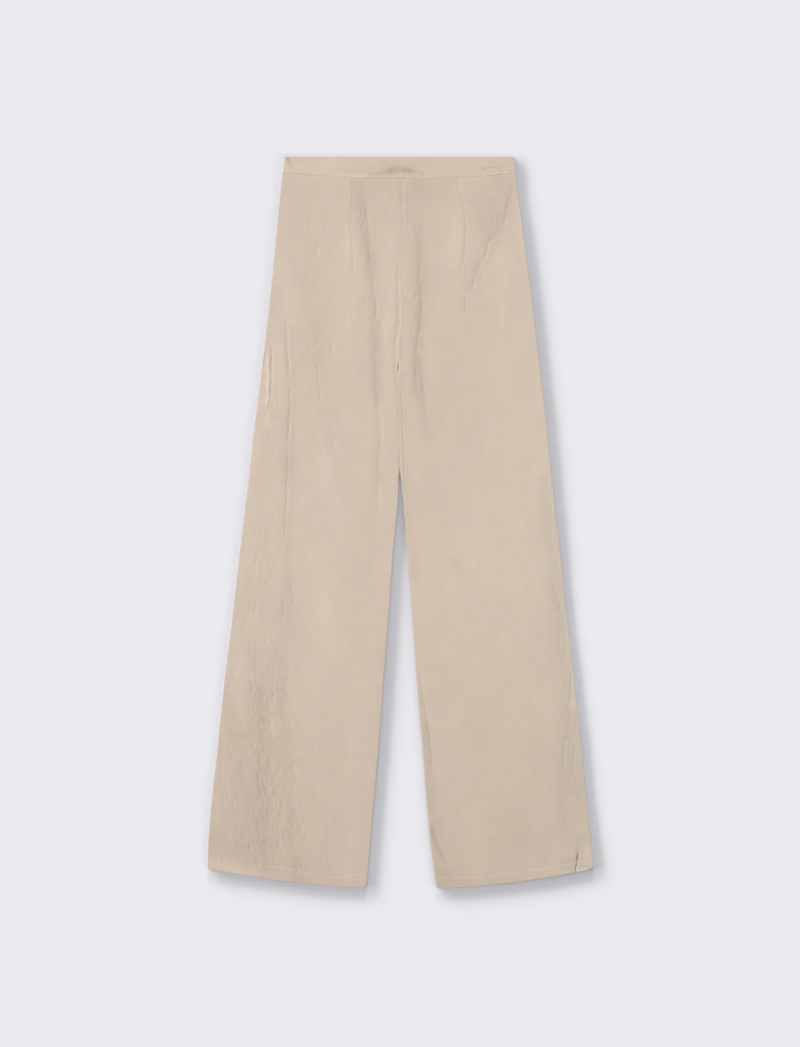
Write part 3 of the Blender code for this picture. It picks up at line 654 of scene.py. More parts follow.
# Broad bands where the cloth is a little pinker (change above zero) or greyer, from -1 to 1.  The pinker
# bands mostly follow the painted shade of the troughs, the calf and the waist, and are a painted warm tint
# of that shade; the greyer bands only change the colour.
HUE_AND_PAINTED_SHADE_TINT = (
    Tone(-0.95, 14, ((222, 70), (226, 0), (238, -140))),
    Tone(-0.75, 15, ((240, -140), (250, -280), (262, -350))),
    Tone(-0.50, 22, ((250, -350), (262, -500))),
    Tone(-0.45, 14, ((182, 420), (196, 300), (206, 180), (214, 100))),
    Tone(-0.90, 15, ((-190, 400), (-192, 340), (-188, 290), (-172, 270))),
    Tone(-0.55, 10, ((-178, 520), (-184, 440))),
    Tone(-0.40, 11, ((-210, 180), (-224, 50), (-240, -80), (-262, -280))),
    Tone(-0.50, 20, ((-90, 140), (-120, 40), (-95, -30))),
    Tone(0.95, 9, ((32, 400), (33, 330), (29, 240))),
    Tone(0.85, 10, ((-4, 190), (4, 110))),
    Tone(0.50, 16, ((100, 190), (80, 130))),
    Tone(0.45, 50, ((-215, -290), (-190, -400), (-160, -480))),
    Tone(0.40, 55, ((80, -200), (150, -260), (150, -420), (120, -500))),
    Tone(0.35, 20, ((-130, 340), (-120, 200))),
    Tone(0.45, 14, ((-90, 515), (60, 500), (140, 515))),
)

# Grid steps down a panel: close at the waist seam and over the hem, even between them.
RowBand = namedtuple("RowBand", "height rows")
PANEL_ROWS = (
    RowBand(0.0030, 4),
    RowBand(0.9990, 284),
    RowBand(0.0240, 22),
    RowBand(0.0180, 16),
    RowBand(0.0010, 1),
    RowBand(0.0005, 4),
)
WAIST_SHARE = 0.2         # how much of the panel it takes its rows to turn level below the waist
HEM_SHARE = 0.4           # and from level to the line of the hem

# Grid steps across: the close columns beside the seam, the roll over the outer edge, the flat, and
# the turn of the inner edge.
BACK_STEPS = (4, 7, 228, 8)
SEAM_STRIP = 0.0030       # the width of the close columns
INSIDE_STEP = 4           # the inside, which hardly shows, has a quarter of the rows and columns

# How a sewn seam draws both edges down: how deep, and how far from the seam.
SeamDip = namedtuple("SeamDip", "depth width seed")
SIDE_DIP = SeamDip(0.00012, 0.0014, 31)
CENTRE_DIP = SeamDip(0.00032, 0.0022, 32)
WAIST_DIP = SeamDip(0.00022, 0.0008, 33)
DIP_LENGTH = 0.014        # from one change of its depth to the next
DIP_PULL = (-0.5, 1.9)    # the least and the most of its depth: none where it is below zero
ROUNDNESS = 0.85          # how nearly round the folded edge of a wall is


def smooth_curve(places, values):
    """A smooth curve through the values at rising places, as a function of the place."""
    places = np.array(places)
    values = np.array(values)
    slopes = np.gradient(values, places)

    def at(place):
        k = np.clip(np.searchsorted(places, place) - 1, 0, len(places) - 2)
        step = places[k + 1] - places[k]
        t = np.clip((place - places[k]) / step, 0.0, 1.0)
        start = values[k] * (1 + 2 * t) * (1 - t) ** 2 + slopes[k] * step * t * (1 - t) ** 2
        end = values[k + 1] * (3 - 2 * t) * t ** 2 - slopes[k + 1] * step * (1 - t) * t ** 2
        return start + end

    return at


def both_sides(rows, left, right):
    """For each side its column of a table, as a smooth curve over the table's first column."""
    rows = sorted(rows)
    places = [row[0] for row in rows]
    return {side: smooth_curve(places, [getattr(row, column) for row in rows])
            for side, column in ((LEFT, left), (RIGHT, right))}


OUTER = both_sides(SECTIONS, "outer_left", "outer_right")
INNER = both_sides(SECTIONS, "inner_left", "inner_right")
WRAP = both_sides(SECTIONS, "wrap_left", "wrap_right")
HEM = both_sides(HEMS, "left", "right")
TURN_UP = both_sides(TURN_UPS, "left", "right")


def ease(t):
    """From 0 to 1 with soft ends."""
    t = np.clip(t, 0.0, 1.0)
    return t * t * (3 - 2 * t)


def loose_curve(seed, step, low, high):
    """A smooth curve that strays between low and high, turning about every step of the way."""
    places = np.arange(-LOOSE_REACH, LOOSE_REACH, step)
    return smooth_curve(places, np.random.default_rng(seed).uniform(low, high, len(places)))


def crease_height(crease, number, x, y):
    """The height of one crease at x, y."""
    line = np.array(crease.line) * MM
    runs_down = np.ptp(line[:, 1]) >= np.ptp(line[:, 0])
    place, offset = (y, x) if runs_down else (x, y)
    ends = line[:, ::-1] if runs_down else line
    ends = ends[np.argsort(ends[:, 0])]
    start, stop = ends[0, 0], ends[-1, 0]
    reach = 3 * max(crease.low, crease.high) * MM + np.ptp(ends[:, 1])
    middle = ends[:, 1].mean()
    near = (place > start) & (place < stop) & (np.abs(offset - middle) < reach)
    height = np.zeros(x.shape)
    s = place[near]
    curve = smooth_curve(ends[:, 0], ends[:, 1])
    slope = (curve(s + MM) - curve(s - MM)) / (2 * MM)
    breadth = min(crease.low, crease.high)
    wander = loose_curve(number, WANDER_LENGTH * breadth, -WANDER, WANDER)(s)
    away = (offset[near] - curve(s) - wander) / np.hypot(1.0, slope)
    width = np.where(away < 0, crease.low, crease.high) * MM
    fade = ease((s - start) / (crease.fade * MM)) * ease((stop - s) / (crease.fade * MM))
    uneven = loose_curve(number + UNEVEN_SEED, UNEVEN_LENGTH * breadth, 1 - UNEVEN, 1 + UNEVEN)(s)
    height[near] = crease.depth * MM * np.exp(-(away / width) ** 2) * fade * uneven
    return height


def line_points(line, shares):
    """Points at those shares of a line's length."""
    line = np.array(line) * MM
    steps = np.hypot(*np.diff(line, axis=0).T)
    lengths = np.concatenate([[0.0], np.cumsum(steps)]) / steps.sum()
    return np.interp(shares, lengths, line[:, 0]), np.interp(shares, lengths, line[:, 1])


def crinkle_height(band, x, y):
    """A band of short, slightly bent crinkles, strewn round its line."""
    draw = np.random.default_rng(CRINKLE_SEED + len(band.name) + band.count)
    height = np.zeros(x.shape)
    centre_x, centre_y = line_points(band.line, draw.random(band.count))
    centre_x = centre_x + draw.normal(0.0, band.spread * MM, band.count)
    length = band.length * MM * draw.uniform(*CRINKLE_LENGTHS, band.count)
    width = band.width * MM * draw.uniform(*CRINKLE_WIDTHS, band.count)
    depth = band.depth * MM * draw.uniform(*CRINKLE_DEPTHS, band.count)
    tilt = np.radians(band.tilt + draw.normal(0.0, band.scatter, band.count))
    for k in range(band.count):
        near = (np.abs(x - centre_x[k]) < length[k]) & (np.abs(y - centre_y[k]) < length[k])
        run_x = x[near] - centre_x[k]
        run_y = y[near] - centre_y[k]
        along = run_y * math.cos(tilt[k]) - run_x * math.sin(tilt[k])
        away = run_x * math.cos(tilt[k]) + run_y * math.sin(tilt[k])
        bow = CRINKLE_BOW * np.sin(along * CRINKLE_TURN / length[k] + k)
        away = away + width[k] * bow
        shape = np.exp(-(away / width[k]) ** 2) * np.clip(1 - (2 * along / length[k]) ** 2, 0, 1)
        height[near] += depth[k] * shape
    return height


def near_line(band, x, y):
    """From 0 far from a band's line to 1 on it."""
    line = np.array(band.line) * MM
    nearest = np.full(x.shape, np.inf)
    for start, stop in zip(line, line[1:]):
        run_x, run_y = stop - start
        t = np.clip(((x - start[0]) * run_x + (y - start[1]) * run_y) / (run_x ** 2 + run_y ** 2), 0, 1)
        nearest = np.minimum(nearest, np.hypot(x - start[0] - t * run_x, y - start[1] - t * run_y))
    return np.exp(-(nearest / (band.spread * MM)) ** 2)


def crushed_at(x, y):
    """How finely crushed the cloth is, from 0 to 1."""
    return np.max([band.strength * near_line(band, x, y) for band in CRUSHED], axis=0)


def change_at(bands, x, y):
    """How much all those bands of painted light and shade, or of pink or grey tint, change the cloth."""
    return sum(band.change * near_line(band, x, y) for band in bands)


def looks_at(x, y, tones, crushed, share=1.0):
    """The looks of the cloth at each point: how crushed it is, its tone of painted light and shade, and its
    pink or grey tint, which is partly painted warm shade; share says how much of its tone and tint shows
    there.
    """
    tone = 1.0 + change_at(tones, x, y) * share
    return {"crushed": crushed, "tone": tone, "dye": change_at(HUE_AND_PAINTED_SHADE_TINT, x, y) * share}


def soft_height(x, y):
    """The slight unevenness of cloth that lies loose."""
    points = zip(x.ravel() / SOFT_SIZE, y.ravel() / (2 * SOFT_SIZE))
    values = [noise.noise((a, b, 0.0)) for a, b in points]
    return SOFT_HEIGHT * np.array(values).reshape(x.shape)


def creased(height, creases, first, x, y):
    """The height with all those creases added, which are numbered from the first on."""
    for number, crease in enumerate(creases, first):
        height = height + crease_height(crease, number, x, y)
    return height


def top_relief(x, y):
    """The height of everything that shows on the top side at x, y."""
    height = creased(soft_height(x, y), CREASES + DARTS, 0, x, y)
    for band in CRINKLES:
        height += crinkle_height(band, x, y)
    return height


def inner_turn(y):
    """The angle by which the inner edge is turned over: none where the legs meet, a full one below."""
    return FULL_TURN * ease((PARTING - y) / TURN_LENGTH)


def press(turn):
    """How wide a roll is against a round one: just as wide where the cloth isn't turned."""
    return 1.0 - (1.0 - EDGE_WIDTH / EDGE_RADIUS) * turn / FULL_TURN


def ring_length(side, y):
    """Half of the leg's ring, from half height of the outer edge to its end at the inner edge."""
    turn = np.maximum(inner_turn(y), LEAST_TURN)
    turned = ROLL_ARC * np.sin(turn) / turn * press(turn)
    return 2 * ROLL_ARC + side * OUTER[side](y) - EDGE_WIDTH - side * INNER[side](y) - turned


def ring_point(side, y, reach):
    """X and Z on the outside of the leg's ring, reach metres along the cloth from the outer edge.

    A positive reach goes over the top and a negative one underneath.
    """
    turn = np.maximum(inner_turn(y), LEAST_TURN)
    distance = np.abs(reach)
    angle = np.minimum(distance, ROLL_ARC) / EDGE_RADIUS
    rolled = EDGE_WIDTH * (1 - np.cos(angle))
    lift = EDGE_RADIUS * np.sin(angle)
    length = ring_length(side, y)
    last = np.clip(distance - (length - ROLL_ARC), 0.0, ROLL_ARC)
    radius = ROLL_ARC / turn
    flat = np.maximum(np.minimum(distance, length - ROLL_ARC) - ROLL_ARC, 0.0)
    across = side * OUTER[side](y) - rolled - flat - radius * np.sin(last / radius) * press(turn)
    drop = radius * (1 - np.cos(last / radius))
    on_roll = distance < ROLL_ARC
    top = np.where(on_roll, EDGE_RADIUS + lift, TOP_HEIGHT - drop)
    under = np.where(on_roll, EDGE_RADIUS - lift, drop)
    return side * across, np.where(reach >= 0, top, under)


def ring_outward(side, y, reach):
    """X and Z of the unit normal that points out of the ring at that place."""
    ahead_x, ahead_z = ring_point(side, y, reach + NORMAL_STEP)
    behind_x, behind_z = ring_point(side, y, reach - NORMAL_STEP)
    run_x = ahead_x - behind_x
    run_z = ahead_z - behind_z
    run = np.hypot(run_x, run_z)
    return side * run_z / run, -side * run_x / run


def run_through(share, steps, stops):
    """Straight runs of so many steps from each stop to the next, where stops may differ by row."""
    places = np.cumsum((0, *steps)) / sum(steps)
    distance = stops[0]
    for place, next_place, stop, next_stop in zip(places, places[1:], stops, stops[1:]):
        t = np.clip((share - place) / (next_place - place), 0.0, 1.0)
        distance = distance + t * (next_stop - stop)
    return distance


def panel_grid(columns, bands):
    """How far across and down a panel every point of its grid lies, from 0 to 1."""
    rows = np.cumsum([0] + [band.rows for band in bands])
    heights = np.cumsum([0.0] + [band.height for band in bands])
    share, row = np.meshgrid(np.linspace(0.0, 1.0, columns + 1), np.linspace(0.0, 1.0, rows[-1] + 1))
    return share, np.interp(row, rows / rows[-1], heights / heights[-1])


def leg_share(side, x, y):
    """How far across its leg a point lies: 0 at the inner edge and 1 at the outer one."""
    inner_edge = side * INNER[side](y)
    outer_edge = side * OUTER[side](y)
    return np.clip((side * x - inner_edge) / (outer_edge - inner_edge), 0.0, 1.0)


def waist_seam(x, centre=WAIST_SEAM_CENTRE):
    """The y of the seam under the waistband, which dips towards the centre of the back."""
    across = np.minimum(np.abs(x) / WAIST_HALF, 1.0)
    return centre + (WAIST_SEAM_SIDE - centre) * across ** 2


def panel_points(side, down, reach_at, seam_centre):
    """How far round the ring each point of a panel lies, and its x, y and z.

    Its rows follow the waist seam at the top and the hem at the bottom, and are level between them.
    """
    level = WAIST_SEAM_SIDE + down * (HEM_LEVEL - WAIST_SEAM_SIDE)
    x, _ = ring_point(side, level, reach_at(level))
    across = leg_share(side, x, level)
    corner = 1.0 - np.minimum(across, 1.0 - across) * HEM_WIDTH / CORNER_REACH
    hem = HEM[side](across) + CORNER_LIFT * np.maximum(corner, 0.0) ** 2
    seam = waist_seam(x, seam_centre) - SEAM_GAP / 2
    at_waist = (seam - WAIST_SEAM_SIDE) * ease(1.0 - down / WAIST_SHARE)
    at_hem = (hem - HEM_LEVEL) * ease(1.0 - (1.0 - down) / HEM_SHARE)
    y = level + at_waist + at_hem
    reach = reach_at(y)
    x, z = ring_point(side, y, reach)
    return reach, x, y, z


def above_hem(down):
    return (1.0 - down) * PANEL_LENGTH


def hem_relief(side, x, y, down):
    """The turned-up hem: a slight step at its stitches, which draw the cloth into small puckers."""
    from_stitches = above_hem(down) - TURN_UP[side](leg_share(side, x, y))
    step = TURN_UP_RISE * ease(0.5 - from_stitches / TURN_UP_EASE)
    pull = np.maximum(loose_curve(HEM_GROOVE_SEED, HEM_GROOVE_LENGTH, *HEM_PULL)(x), 0.0)
    groove = HEM_GROOVE * np.exp(-(from_stitches / HEM_GROOVE_WIDTH) ** 2) * pull
    pucker = loose_curve(PUCKER_SEED, PUCKER_LENGTH, -1.0, 1.0)(x)
    pucker = pucker * np.exp(-(from_stitches / PUCKER_REACH) ** 2)
    return step - groove + PUCKER * pucker


def seam_dip(seam, distance, along):
    """How far a seam draws the cloth in: more in one place than in another."""
    pull = np.maximum(loose_curve(seam.seed, DIP_LENGTH, *DIP_PULL)(along), 0.0)
    return seam.depth * pull * np.exp(-(distance / seam.width) ** 2)


def both_walls(x, y, z, outward, dip, wall, from_edge):
    """The outside and the inside of a wall of cloth, which close in at its folded edge."""
    out_x, out_z = outward
    radius = wall / 2
    up = np.clip(from_edge / radius, 0.0, 1.0)
    closing = ROUNDNESS * radius * (1 - np.sqrt(1 - (1 - up) ** 2))
    depths = (dip + closing, dip + wall - closing)
    return [np.stack([x - out_x * depth, y, z - out_z * depth], axis=2) for depth in depths]


def panel_walls(side, reach, down, x, y, z):
    """The outside and the inside of a panel, which its seams draw in."""
    dip = seam_dip(SIDE_DIP, reach - WRAP[side](y), y)
    dip += seam_dip(CENTRE_DIP, ring_length(side, y) - np.abs(reach), y)
    dip += seam_dip(WAIST_DIP, waist_seam(x) - y, x)
    return both_walls(x, y, z, ring_outward(side, y, reach), dip, WALL, above_hem(down))


def coarse_inside(inside):
    """Every fourth row and column of the inside, at the lowest point of what lies round it."""
    rows, columns = inside.shape[0] - 1, inside.shape[1] - 1
    row_places = np.linspace(0, rows, rows // INSIDE_STEP + 1).round().astype(int)
    column_places = np.linspace(0, columns, columns // INSIDE_STEP + 1).round().astype(int)
    coarse = inside[np.ix_(row_places, column_places)]
    padded = np.pad(inside[:, :, 2], INSIDE_STEP // 2, mode="edge")
    for row in range(INSIDE_STEP + 1):
        for column in range(INSIDE_STEP + 1):
            near = padded[np.ix_(row_places + row, column_places + column)]
            near = np.where(np.abs(near - coarse[:, :, 2]) < WALL, near, coarse[:, :, 2])
            coarse[:, :, 2] = np.minimum(coarse[:, :, 2], near)
    return coarse


def cloth_shell(name, outside, inside, looks, finishes, back_shows=None):
    """A closed shell of cloth: a fine grid of points outside and a coarser one inside.

    looks gives how crushed the cloth is at each point, its tone of painted light and shade, and its pink or
    grey tint, which is partly painted warm shade.  back_shows marks the points outside where the back of
    the cloth is turned out.
    """
    shell = bmesh.new()
    turned_out = set()
    for look in looks:
        shell.verts.layers.float.new(look)
    layers = [(shell.verts.layers.float[look], values) for look, values in looks.items()]
    for finish, points in enumerate((outside, coarse_inside(inside))):
        rows, columns = points.shape[0] - 1, points.shape[1] - 1
        grid = bmesh.ops.create_grid(shell, x_segments=columns, y_segments=rows, size=0.5)["verts"]
        grid_rows = np.linspace(0, outside.shape[0] - 1, rows + 1).round().astype(int)
        grid_columns = np.linspace(0, outside.shape[1] - 1, columns + 1).round().astype(int)
        for vertex in grid:
            column = round((vertex.co.x + 0.5) * columns)
            row = rows - round((vertex.co.y + 0.5) * rows)
            vertex.co = points[row, column]
            for layer, values in layers:
                vertex[layer] = values[grid_rows[row], grid_columns[column]]
            if finish == 0 and back_shows is not None and back_shows[row, column]:
                turned_out.add(vertex)
        for face in {face for vertex in grid for face in vertex.link_faces}:
            face.material_index = 1 if turned_out.issuperset(face.verts) else finish
    rims = [edge for edge in shell.edges if edge.is_boundary]
    bmesh.ops.bridge_loops(shell, edges=rims)
    for face in shell.faces:
        face.smooth = True
    for rim in rims:
        rim.smooth = False
    bmesh.ops.recalc_face_normals(shell, faces=shell.faces[:])
    mesh = bpy.data.meshes.new(name)
    shell.to_mesh(mesh)
    shell.free()
    for finish in finishes:
        mesh.materials.append(finish)
    piece = bpy.data.objects.new(name, mesh)
    scene.collection.objects.link(piece)
    return piece


def back_panel(side, name):
    share, down = panel_grid(sum(BACK_STEPS), PANEL_ROWS)

    def reach_at(y):
        seam = WRAP[side](y) + SEAM_GAP / 2
        strip_end = seam + SEAM_STRIP
        end = ring_length(side, y) - SEAM_GAP / 2
        stops = (seam, strip_end, strip_end + ROLL_ARC, end - ROLL_ARC - LIP, end)
        return run_through(share, BACK_STEPS, stops)

    reach, x, y, z = panel_points(side, down, reach_at, WAIST_SEAM_CENTRE)
    height = (top_relief(x, y) + hem_relief(side, x, y, down)) * z / TOP_HEIGHT
    walls = panel_walls(side, reach, down, x, y, z + height)
    looks = looks_at(x, y, PAINTED_LIGHT_AND_SHADE, crushed_at(x, y))
    return cloth_shell(name, *walls, looks, (crepe_face, satin_back))


Cut = namedtuple("Cut", "width length area")

for side, name in ((LEFT, "back_left"), (RIGHT, "back_right")):
    piece = back_panel(side, name + "_cloth")
    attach(piece, "root")
    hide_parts(name)

# ---------------------------------------------------------------- the two front panels
# Each front panel is cut like the back one and lies under it, flat on the table.  Below the knee
# it comes round the outer edge, so that the side seam lies a little way in on the top side.

FRONT_ROWS = (
    RowBand(0.0030, 2),
    RowBand(0.9990, 230),
    RowBand(0.0270, 22),
    RowBand(0.0150, 8),
    RowBand(0.0010, 1),
    RowBand(0.0005, 4),
)

# Grid steps across: the close columns beside the seam, the part that lies on top, the roll over
# the outer edge, the flat on the table, and the turn of the inner edge.
FRONT_STEPS = (4, 24, 7, 90, 8)

# At the right side slit the turned-up hem has rolled a little, so that its satin back shows.
SLIVER_FROM = 0.2570
SLIVER_TO = 0.2765
SLIVER_WIDTH = 0.0017

# Creases of the lower side: they lift the cloth off the table.
UNDER_CREASES = (
    Crease("left thigh", 0.42, 10, 9, 90, ((-150, 350), (-160, 200), (-168, 40))),
    Crease("left seat", 0.36, 8, 8, 80, ((-40, 440), (-34, 300), (-30, 160))),
    Crease("left shin", 0.45, 14, 10, 110, ((-190, -120), (-196, -280), (-186, -440))),
    Crease("left calf", 0.30, 7, 9, 60, ((-110, -200), (-102, -300), (-104, -380))),
    Crease("right seat", 0.40, 9, 8, 80, ((34, 430), (30, 300), (26, 190))),
    Crease("right thigh", 0.34, 10, 12, 100, ((120, 380), (136, 200), (150, 40))),
    Crease("right shin", 0.42, 12, 9, 100, ((205, -60), (214, -220), (212, -400))),
    Crease("right calf", 0.26, 8, 8, 60, ((96, -260), (104, -340), (102, -420))),
)
UNDER_SEED = 5            # the number of the first of them
UNDER_RISE = 0.02         # they start this far from the hem
UNDER_CRUSHED = 0.3       # how finely crushed the lower side is


def front_panel(side, name):
    share, down = panel_grid(sum(FRONT_STEPS), FRONT_ROWS)

    def reach_at(y):
        seam = WRAP[side](y) - SEAM_GAP / 2
        strip_end = seam - np.minimum(SEAM_STRIP, seam / 3)
        wrap_end = np.minimum(ROLL_ARC + LIP, seam / 2)
        end = ring_length(side, y) - SEAM_GAP / 2
        stops = (seam, strip_end, wrap_end, -ROLL_ARC, ROLL_ARC - end, -end)
        return run_through(share, FRONT_STEPS, stops)

    reach, x, y, z = panel_points(side, down, reach_at, WAIST_SEAM_SIDE)
    over = np.clip(z / TOP_HEIGHT, 0.0, 1.0)
    under = np.clip(1.0 - z / EDGE_RADIUS, 0.0, 1.0) * ease(above_hem(down) / UNDER_RISE)
    on_top = top_relief(x, y) + hem_relief(side, x, y, down)
    below = creased(np.zeros(x.shape), UNDER_CREASES, UNDER_SEED, x, y)
    height = on_top * over + below * under
    walls = panel_walls(side, reach, down, x, y, z + height)
    crushed = crushed_at(x, y) * over + UNDER_CRUSHED * (1 - over)
    looks = looks_at(x, y, PAINTED_LIGHT_AND_SHADE, crushed, over)
    sliver = (x > SLIVER_FROM) & (x < SLIVER_TO) & (reach > 0) & (above_hem(down) < SLIVER_WIDTH)
    return cloth_shell(name, *walls, looks, (crepe_face, satin_back), sliver)


for side, name in ((LEFT, "front_left"), (RIGHT, "front_right")):
    piece = front_panel(side, name + "_cloth")
    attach(piece, "root")
    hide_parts(name)

# ---------------------------------------------------------------- the waistband
# A straight band of the same cloth, doubled and fused, so it lies smoother and a little lighter.
# Its back half covers the tops of the back panels, and its front half lies under it.

BAND_WALL = 0.0012
BAND_PROUD = 0.0002
BAND_COLOUR = (0.656, 0.537, 0.425)
BAND_SOFTNESS = 0.6       # the unevenness of the fused band, against that of the loose cloth
BAND_CRUSHED = 0.15       # how finely crushed it is
BACK_HALF = 1
FRONT_HALF = -1
BAND_STEPS = (8, 117)     # grid steps from a side seam over its roll, and on to the centre
BAND_ROWS = (RowBand(0.0006, 4), RowBand(0.0240, 30), RowBand(0.0030, 5))
BAND_CREASES = (
    Crease("band centre hollow, left", -0.45, 2.0, 4.0, 14, ((-44, 514.0), (-22, 515.5), (-1, 516.5))),
    Crease("band centre hollow, left deep", -0.55, 4.0, 5.0, 8, ((-22, 518), (-10, 520), (-1, 521))),
    Crease("band centre hollow, right", -0.55, 3.0, 4.6, 10, ((3, 520), (12, 518.5), (32, 514.5))),
    Crease("band centre ridge", 0.45, 2.0, 2.0, 3, ((0.5, 528), (1.2, 519), (2, 508))),
    Crease("band line", -0.30, 0.9, 1.2, 12, ((-90, 515), (-64, 515.5), (-40, 515))),
    Crease("band pucker line", -0.55, 0.9, 1.4, 5, ((120, 520.5), (133, 522.5), (144, 522), (151, 516))),
    Crease("band pucker", 0.50, 1.6, 1.8, 6, ((122, 515), (136, 517), (149, 514.5))),
    Crease("band corner dimple", -1.10, 1.8, 1.8, 4, ((-169, 538.5), (-165, 535), (-160, 526))),
    Crease("band end wrinkle", -0.26, 1.0, 1.0, 4, ((157, 531), (163, 530), (168, 530))),
    Crease("band end wrinkle, lower", -0.22, 1.0, 1.0, 4, ((156, 525), (162, 524), (168, 525))),
    Crease("band long swell, left", 0.22, 5, 5, 40, ((-150, 527), (-100, 525), (-50, 526))),
    Crease("band long hollow, right", -0.18, 4, 5, 40, ((50, 524), (90, 523), (130, 527))),
)
BAND_SEED = 2             # the number of the first of them
# Painted shade in the band's centre hollow, corner dimple and pucker, and painted light along its centre
# ridge and lines.
BAND_PAINTED_LIGHT_AND_SHADE = (
    Tone(-0.19, 5.6, ((-12, 519), (-1, 520.5))),
    Tone(-0.12, 3.0, ((-46, 513.0), (-30, 514.5), (-14, 516.5))),
    Tone(-0.15, 4.5, ((7, 521), (13, 519))),
    Tone(-0.10, 3.0, ((13, 517.5), (32, 514.5))),
    Tone(-0.05, 13, ((-26, 522), (20, 522))),
    Tone(0.07, 2.2, ((1.4, 524), (1.8, 511))),
    Tone(-0.14, 3.0, ((-169, 538), (-164, 534), (-160, 528))),
    Tone(0.04, 10, ((-160, 526), (-115, 522))),
    Tone(0.025, 9, ((-100, 532), (-40, 532))),
    Tone(-0.06, 2.6, ((122, 521), (140, 523), (148, 521))),
    Tone(0.08, 2.4, ((-90, 511.5), (-40, 510.5))),
)

fused_band = cloth_finish("beige crepe band", BAND_COLOUR, roughness=0.58, bump=0.00012)


def band_relief(x, y):
    return creased(BAND_SOFTNESS * soft_height(x, y), BAND_CREASES, BAND_SEED, x, y)


def waistband(name, over):
    """The back or the front half of the band, as over says, from side seam to side seam."""
    share, down = panel_grid(2 * sum(BAND_STEPS), BAND_ROWS)
    seam = SECTIONS[0].wrap_left + over * SEAM_GAP / 2

    def lay(y):
        halves = []
        for side in (LEFT, RIGHT):
            stops = (seam, over * ROLL_ARC, over * ring_length(side, y))
            reach = run_through(1.0 - np.abs(2 * share - 1.0), BAND_STEPS, stops)
            halves.append([*ring_point(side, y, reach), *ring_outward(side, y, reach)])
        return np.where(share < 0.5, halves[0], halves[1])

    x = lay(np.full(share.shape, WAIST_SEAM_SIDE))[0]
    lower = waist_seam(x) if over == BACK_HALF else WAIST_SEAM_SIDE
    y = WAIST_TOP + down * (lower + SEAM_GAP / 2 - WAIST_TOP)
    x, z, *outward = lay(y)
    free = np.clip(z / TOP_HEIGHT, 0.0, 1.0) if over == BACK_HALF else 0.0
    height = (BAND_PROUD + band_relief(x, y)) * free
    dip = seam_dip(WAIST_DIP, y - lower, x)
    walls = both_walls(x, y, z + height, outward, dip, BAND_WALL, WAIST_TOP - y)
    looks = looks_at(x, y, BAND_PAINTED_LIGHT_AND_SHADE, np.full(x.shape, BAND_CRUSHED), free)
    return cloth_shell(name, *walls, looks, (fused_band, satin_back))


for over, name in ((BACK_HALF, "waistband_back"), (FRONT_HALF, "waistband_front")):
    piece = waistband(name + "_cloth", over)
    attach(piece, "root")
    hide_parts(name)

# ---------------------------------------------------------------- the stitches
# Each hem is held by one row of small stitches of beige sewing thread, and at its right end the
# waist seam was caught by hand with a few stitches of a paler thread.  The thread is drawn flat
# into the cloth, so only a little of each stitch stands out.

STITCH_PITCH = 0.0029
STITCH = (0.0017, 0.00042, 0.00030)
CATCH_STITCH = (0.0028, 0.00085, 0.00060)
STITCH_LIFT = 0.00005
STITCH_INSET = 0.006      # from the edges of the hem to its first and last stitch
PLY_LEAN = 40.0           # degrees
THREAD_COLOUR = (0.70, 0.585, 0.48)
PALE_THREAD_COLOUR = (0.90, 0.84, 0.80)
Caught = namedtuple("Caught", "x y turn")
CAUGHT = (
    Caught(123.5, 512.6, 4),
    Caught(126.0, 512.9, -6),
    Caught(128.6, 513.0, 10),
    Caught(131.0, 514.4, 62),
    Caught(133.0, 513.4, 12),
    Caught(134.6, 515.3, 70),
    Caught(136.6, 514.0, -40),
    Caught(138.4, 515.8, 64),
    Caught(140.2, 514.2, 20),
    Caught(142.2, 516.2, 58),
    Caught(144.0, 514.9, -30),
    Caught(146.2, 514.6, 8),
    Caught(154.0, 515.9, 30),
    Caught(157.0, 516.2, -12),
)


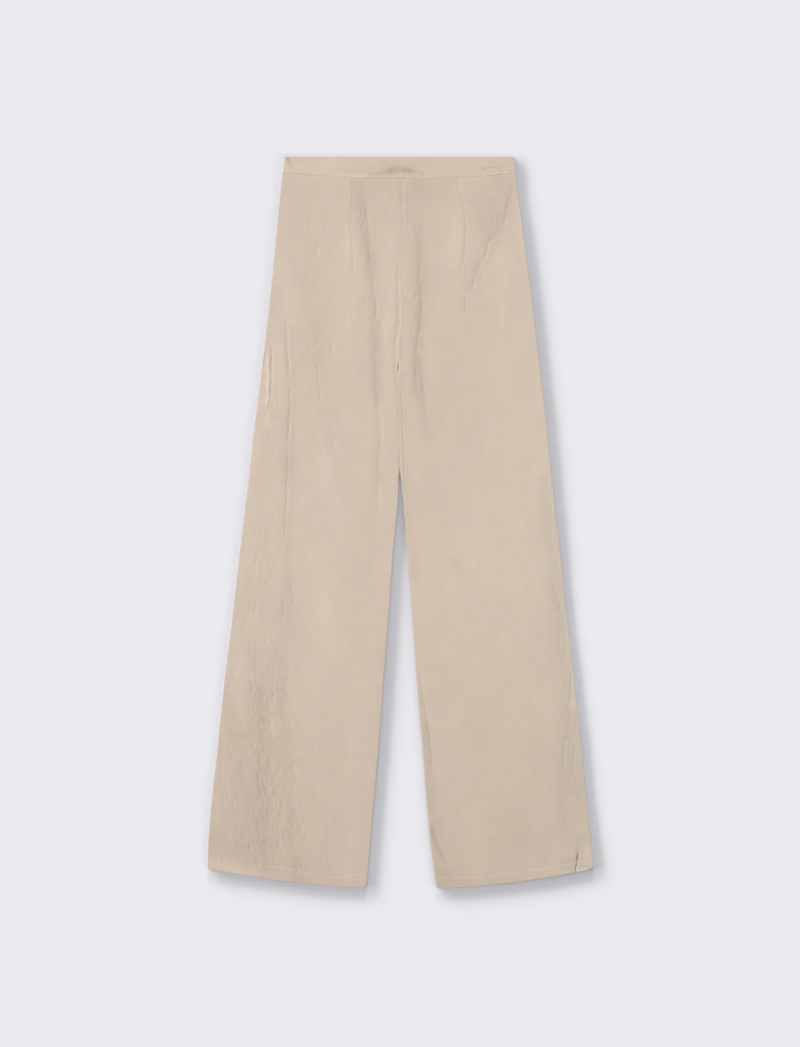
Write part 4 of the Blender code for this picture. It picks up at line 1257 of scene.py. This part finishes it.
def thread_finish(name, colour):
    """Matt spun thread: two plies, which show as fine slanted bands."""
    material = bpy.data.materials.new(name)
    material.use_nodes = True
    tree = material.node_tree
    shader = tree.nodes["Principled BSDF"]
    shader.inputs["Roughness"].default_value = 0.7
    point = tree.nodes.new("ShaderNodeTexCoord").outputs["Object"]
    plies = stretched_noise(tree, point, YARN / 2, (1.0, 4.0), 1.0, PLY_LEAN)
    plies = ramp(tree, plies, 0.3, 0.7, 0.93, 1.03)
    tree.links.new(scaled_colour(tree, colour, plies), shader.inputs["Base Color"])
    return material


def stitching(name, places, stitch, finish):
    """Small stitches of one size, each at its x, y and z and turned by its angle, as one piece."""
    row = bmesh.new()
    for x, y, z, turn in places:
        lay = Matrix.LocRotScale(Vector((x, y, z + STITCH_LIFT)), Euler((0.0, 0.0, turn)), Vector(stitch))
        bmesh.ops.create_icosphere(row, subdivisions=1, radius=0.5, matrix=lay)
    mesh = bpy.data.meshes.new(name)
    row.to_mesh(mesh)
    row.free()
    mesh.materials.append(finish)
    piece = bpy.data.objects.new(name, mesh)
    scene.collection.objects.link(piece)
    return piece


def hem_stitches(side):
    """The places of the stitches round one hem, on the top side."""
    start, stop = sorted((INNER[side](HEM_LEVEL), OUTER[side](HEM_LEVEL)))
    x = np.arange(start + STITCH_INSET, stop - STITCH_INSET, STITCH_PITCH)
    across = leg_share(side, x, HEM_LEVEL)
    y = HEM[side](across) + TURN_UP[side](across)
    down = 1.0 - TURN_UP[side](across) / PANEL_LENGTH
    z = TOP_HEIGHT + top_relief(x, y) + hem_relief(side, x, y, down)
    return zip(x, y, z, np.arctan(np.gradient(y, x)))


beige_thread = thread_finish("beige sewing thread", THREAD_COLOUR)
pale_thread = thread_finish("pale sewing thread", PALE_THREAD_COLOUR)
caught_x, caught_y, caught_turn = np.array(CAUGHT).T * ((MM,), (MM,), (math.radians(1.0),))
caught_z = TOP_HEIGHT + BAND_PROUD + band_relief(caught_x, caught_y)
catches = zip(caught_x, caught_y, caught_z, caught_turn)
for name, slot, places, stitch, finish in (
    ("left_hem_stitches", "cloth", hem_stitches(LEFT), STITCH, beige_thread),
    ("right_hem_stitches", "cloth", hem_stitches(RIGHT), STITCH, beige_thread),
    ("waist_catch_stitches", "waistband", catches, CATCH_STITCH, pale_thread),
):
    piece = stitching(name, places, stitch, finish)
    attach(piece, "root")
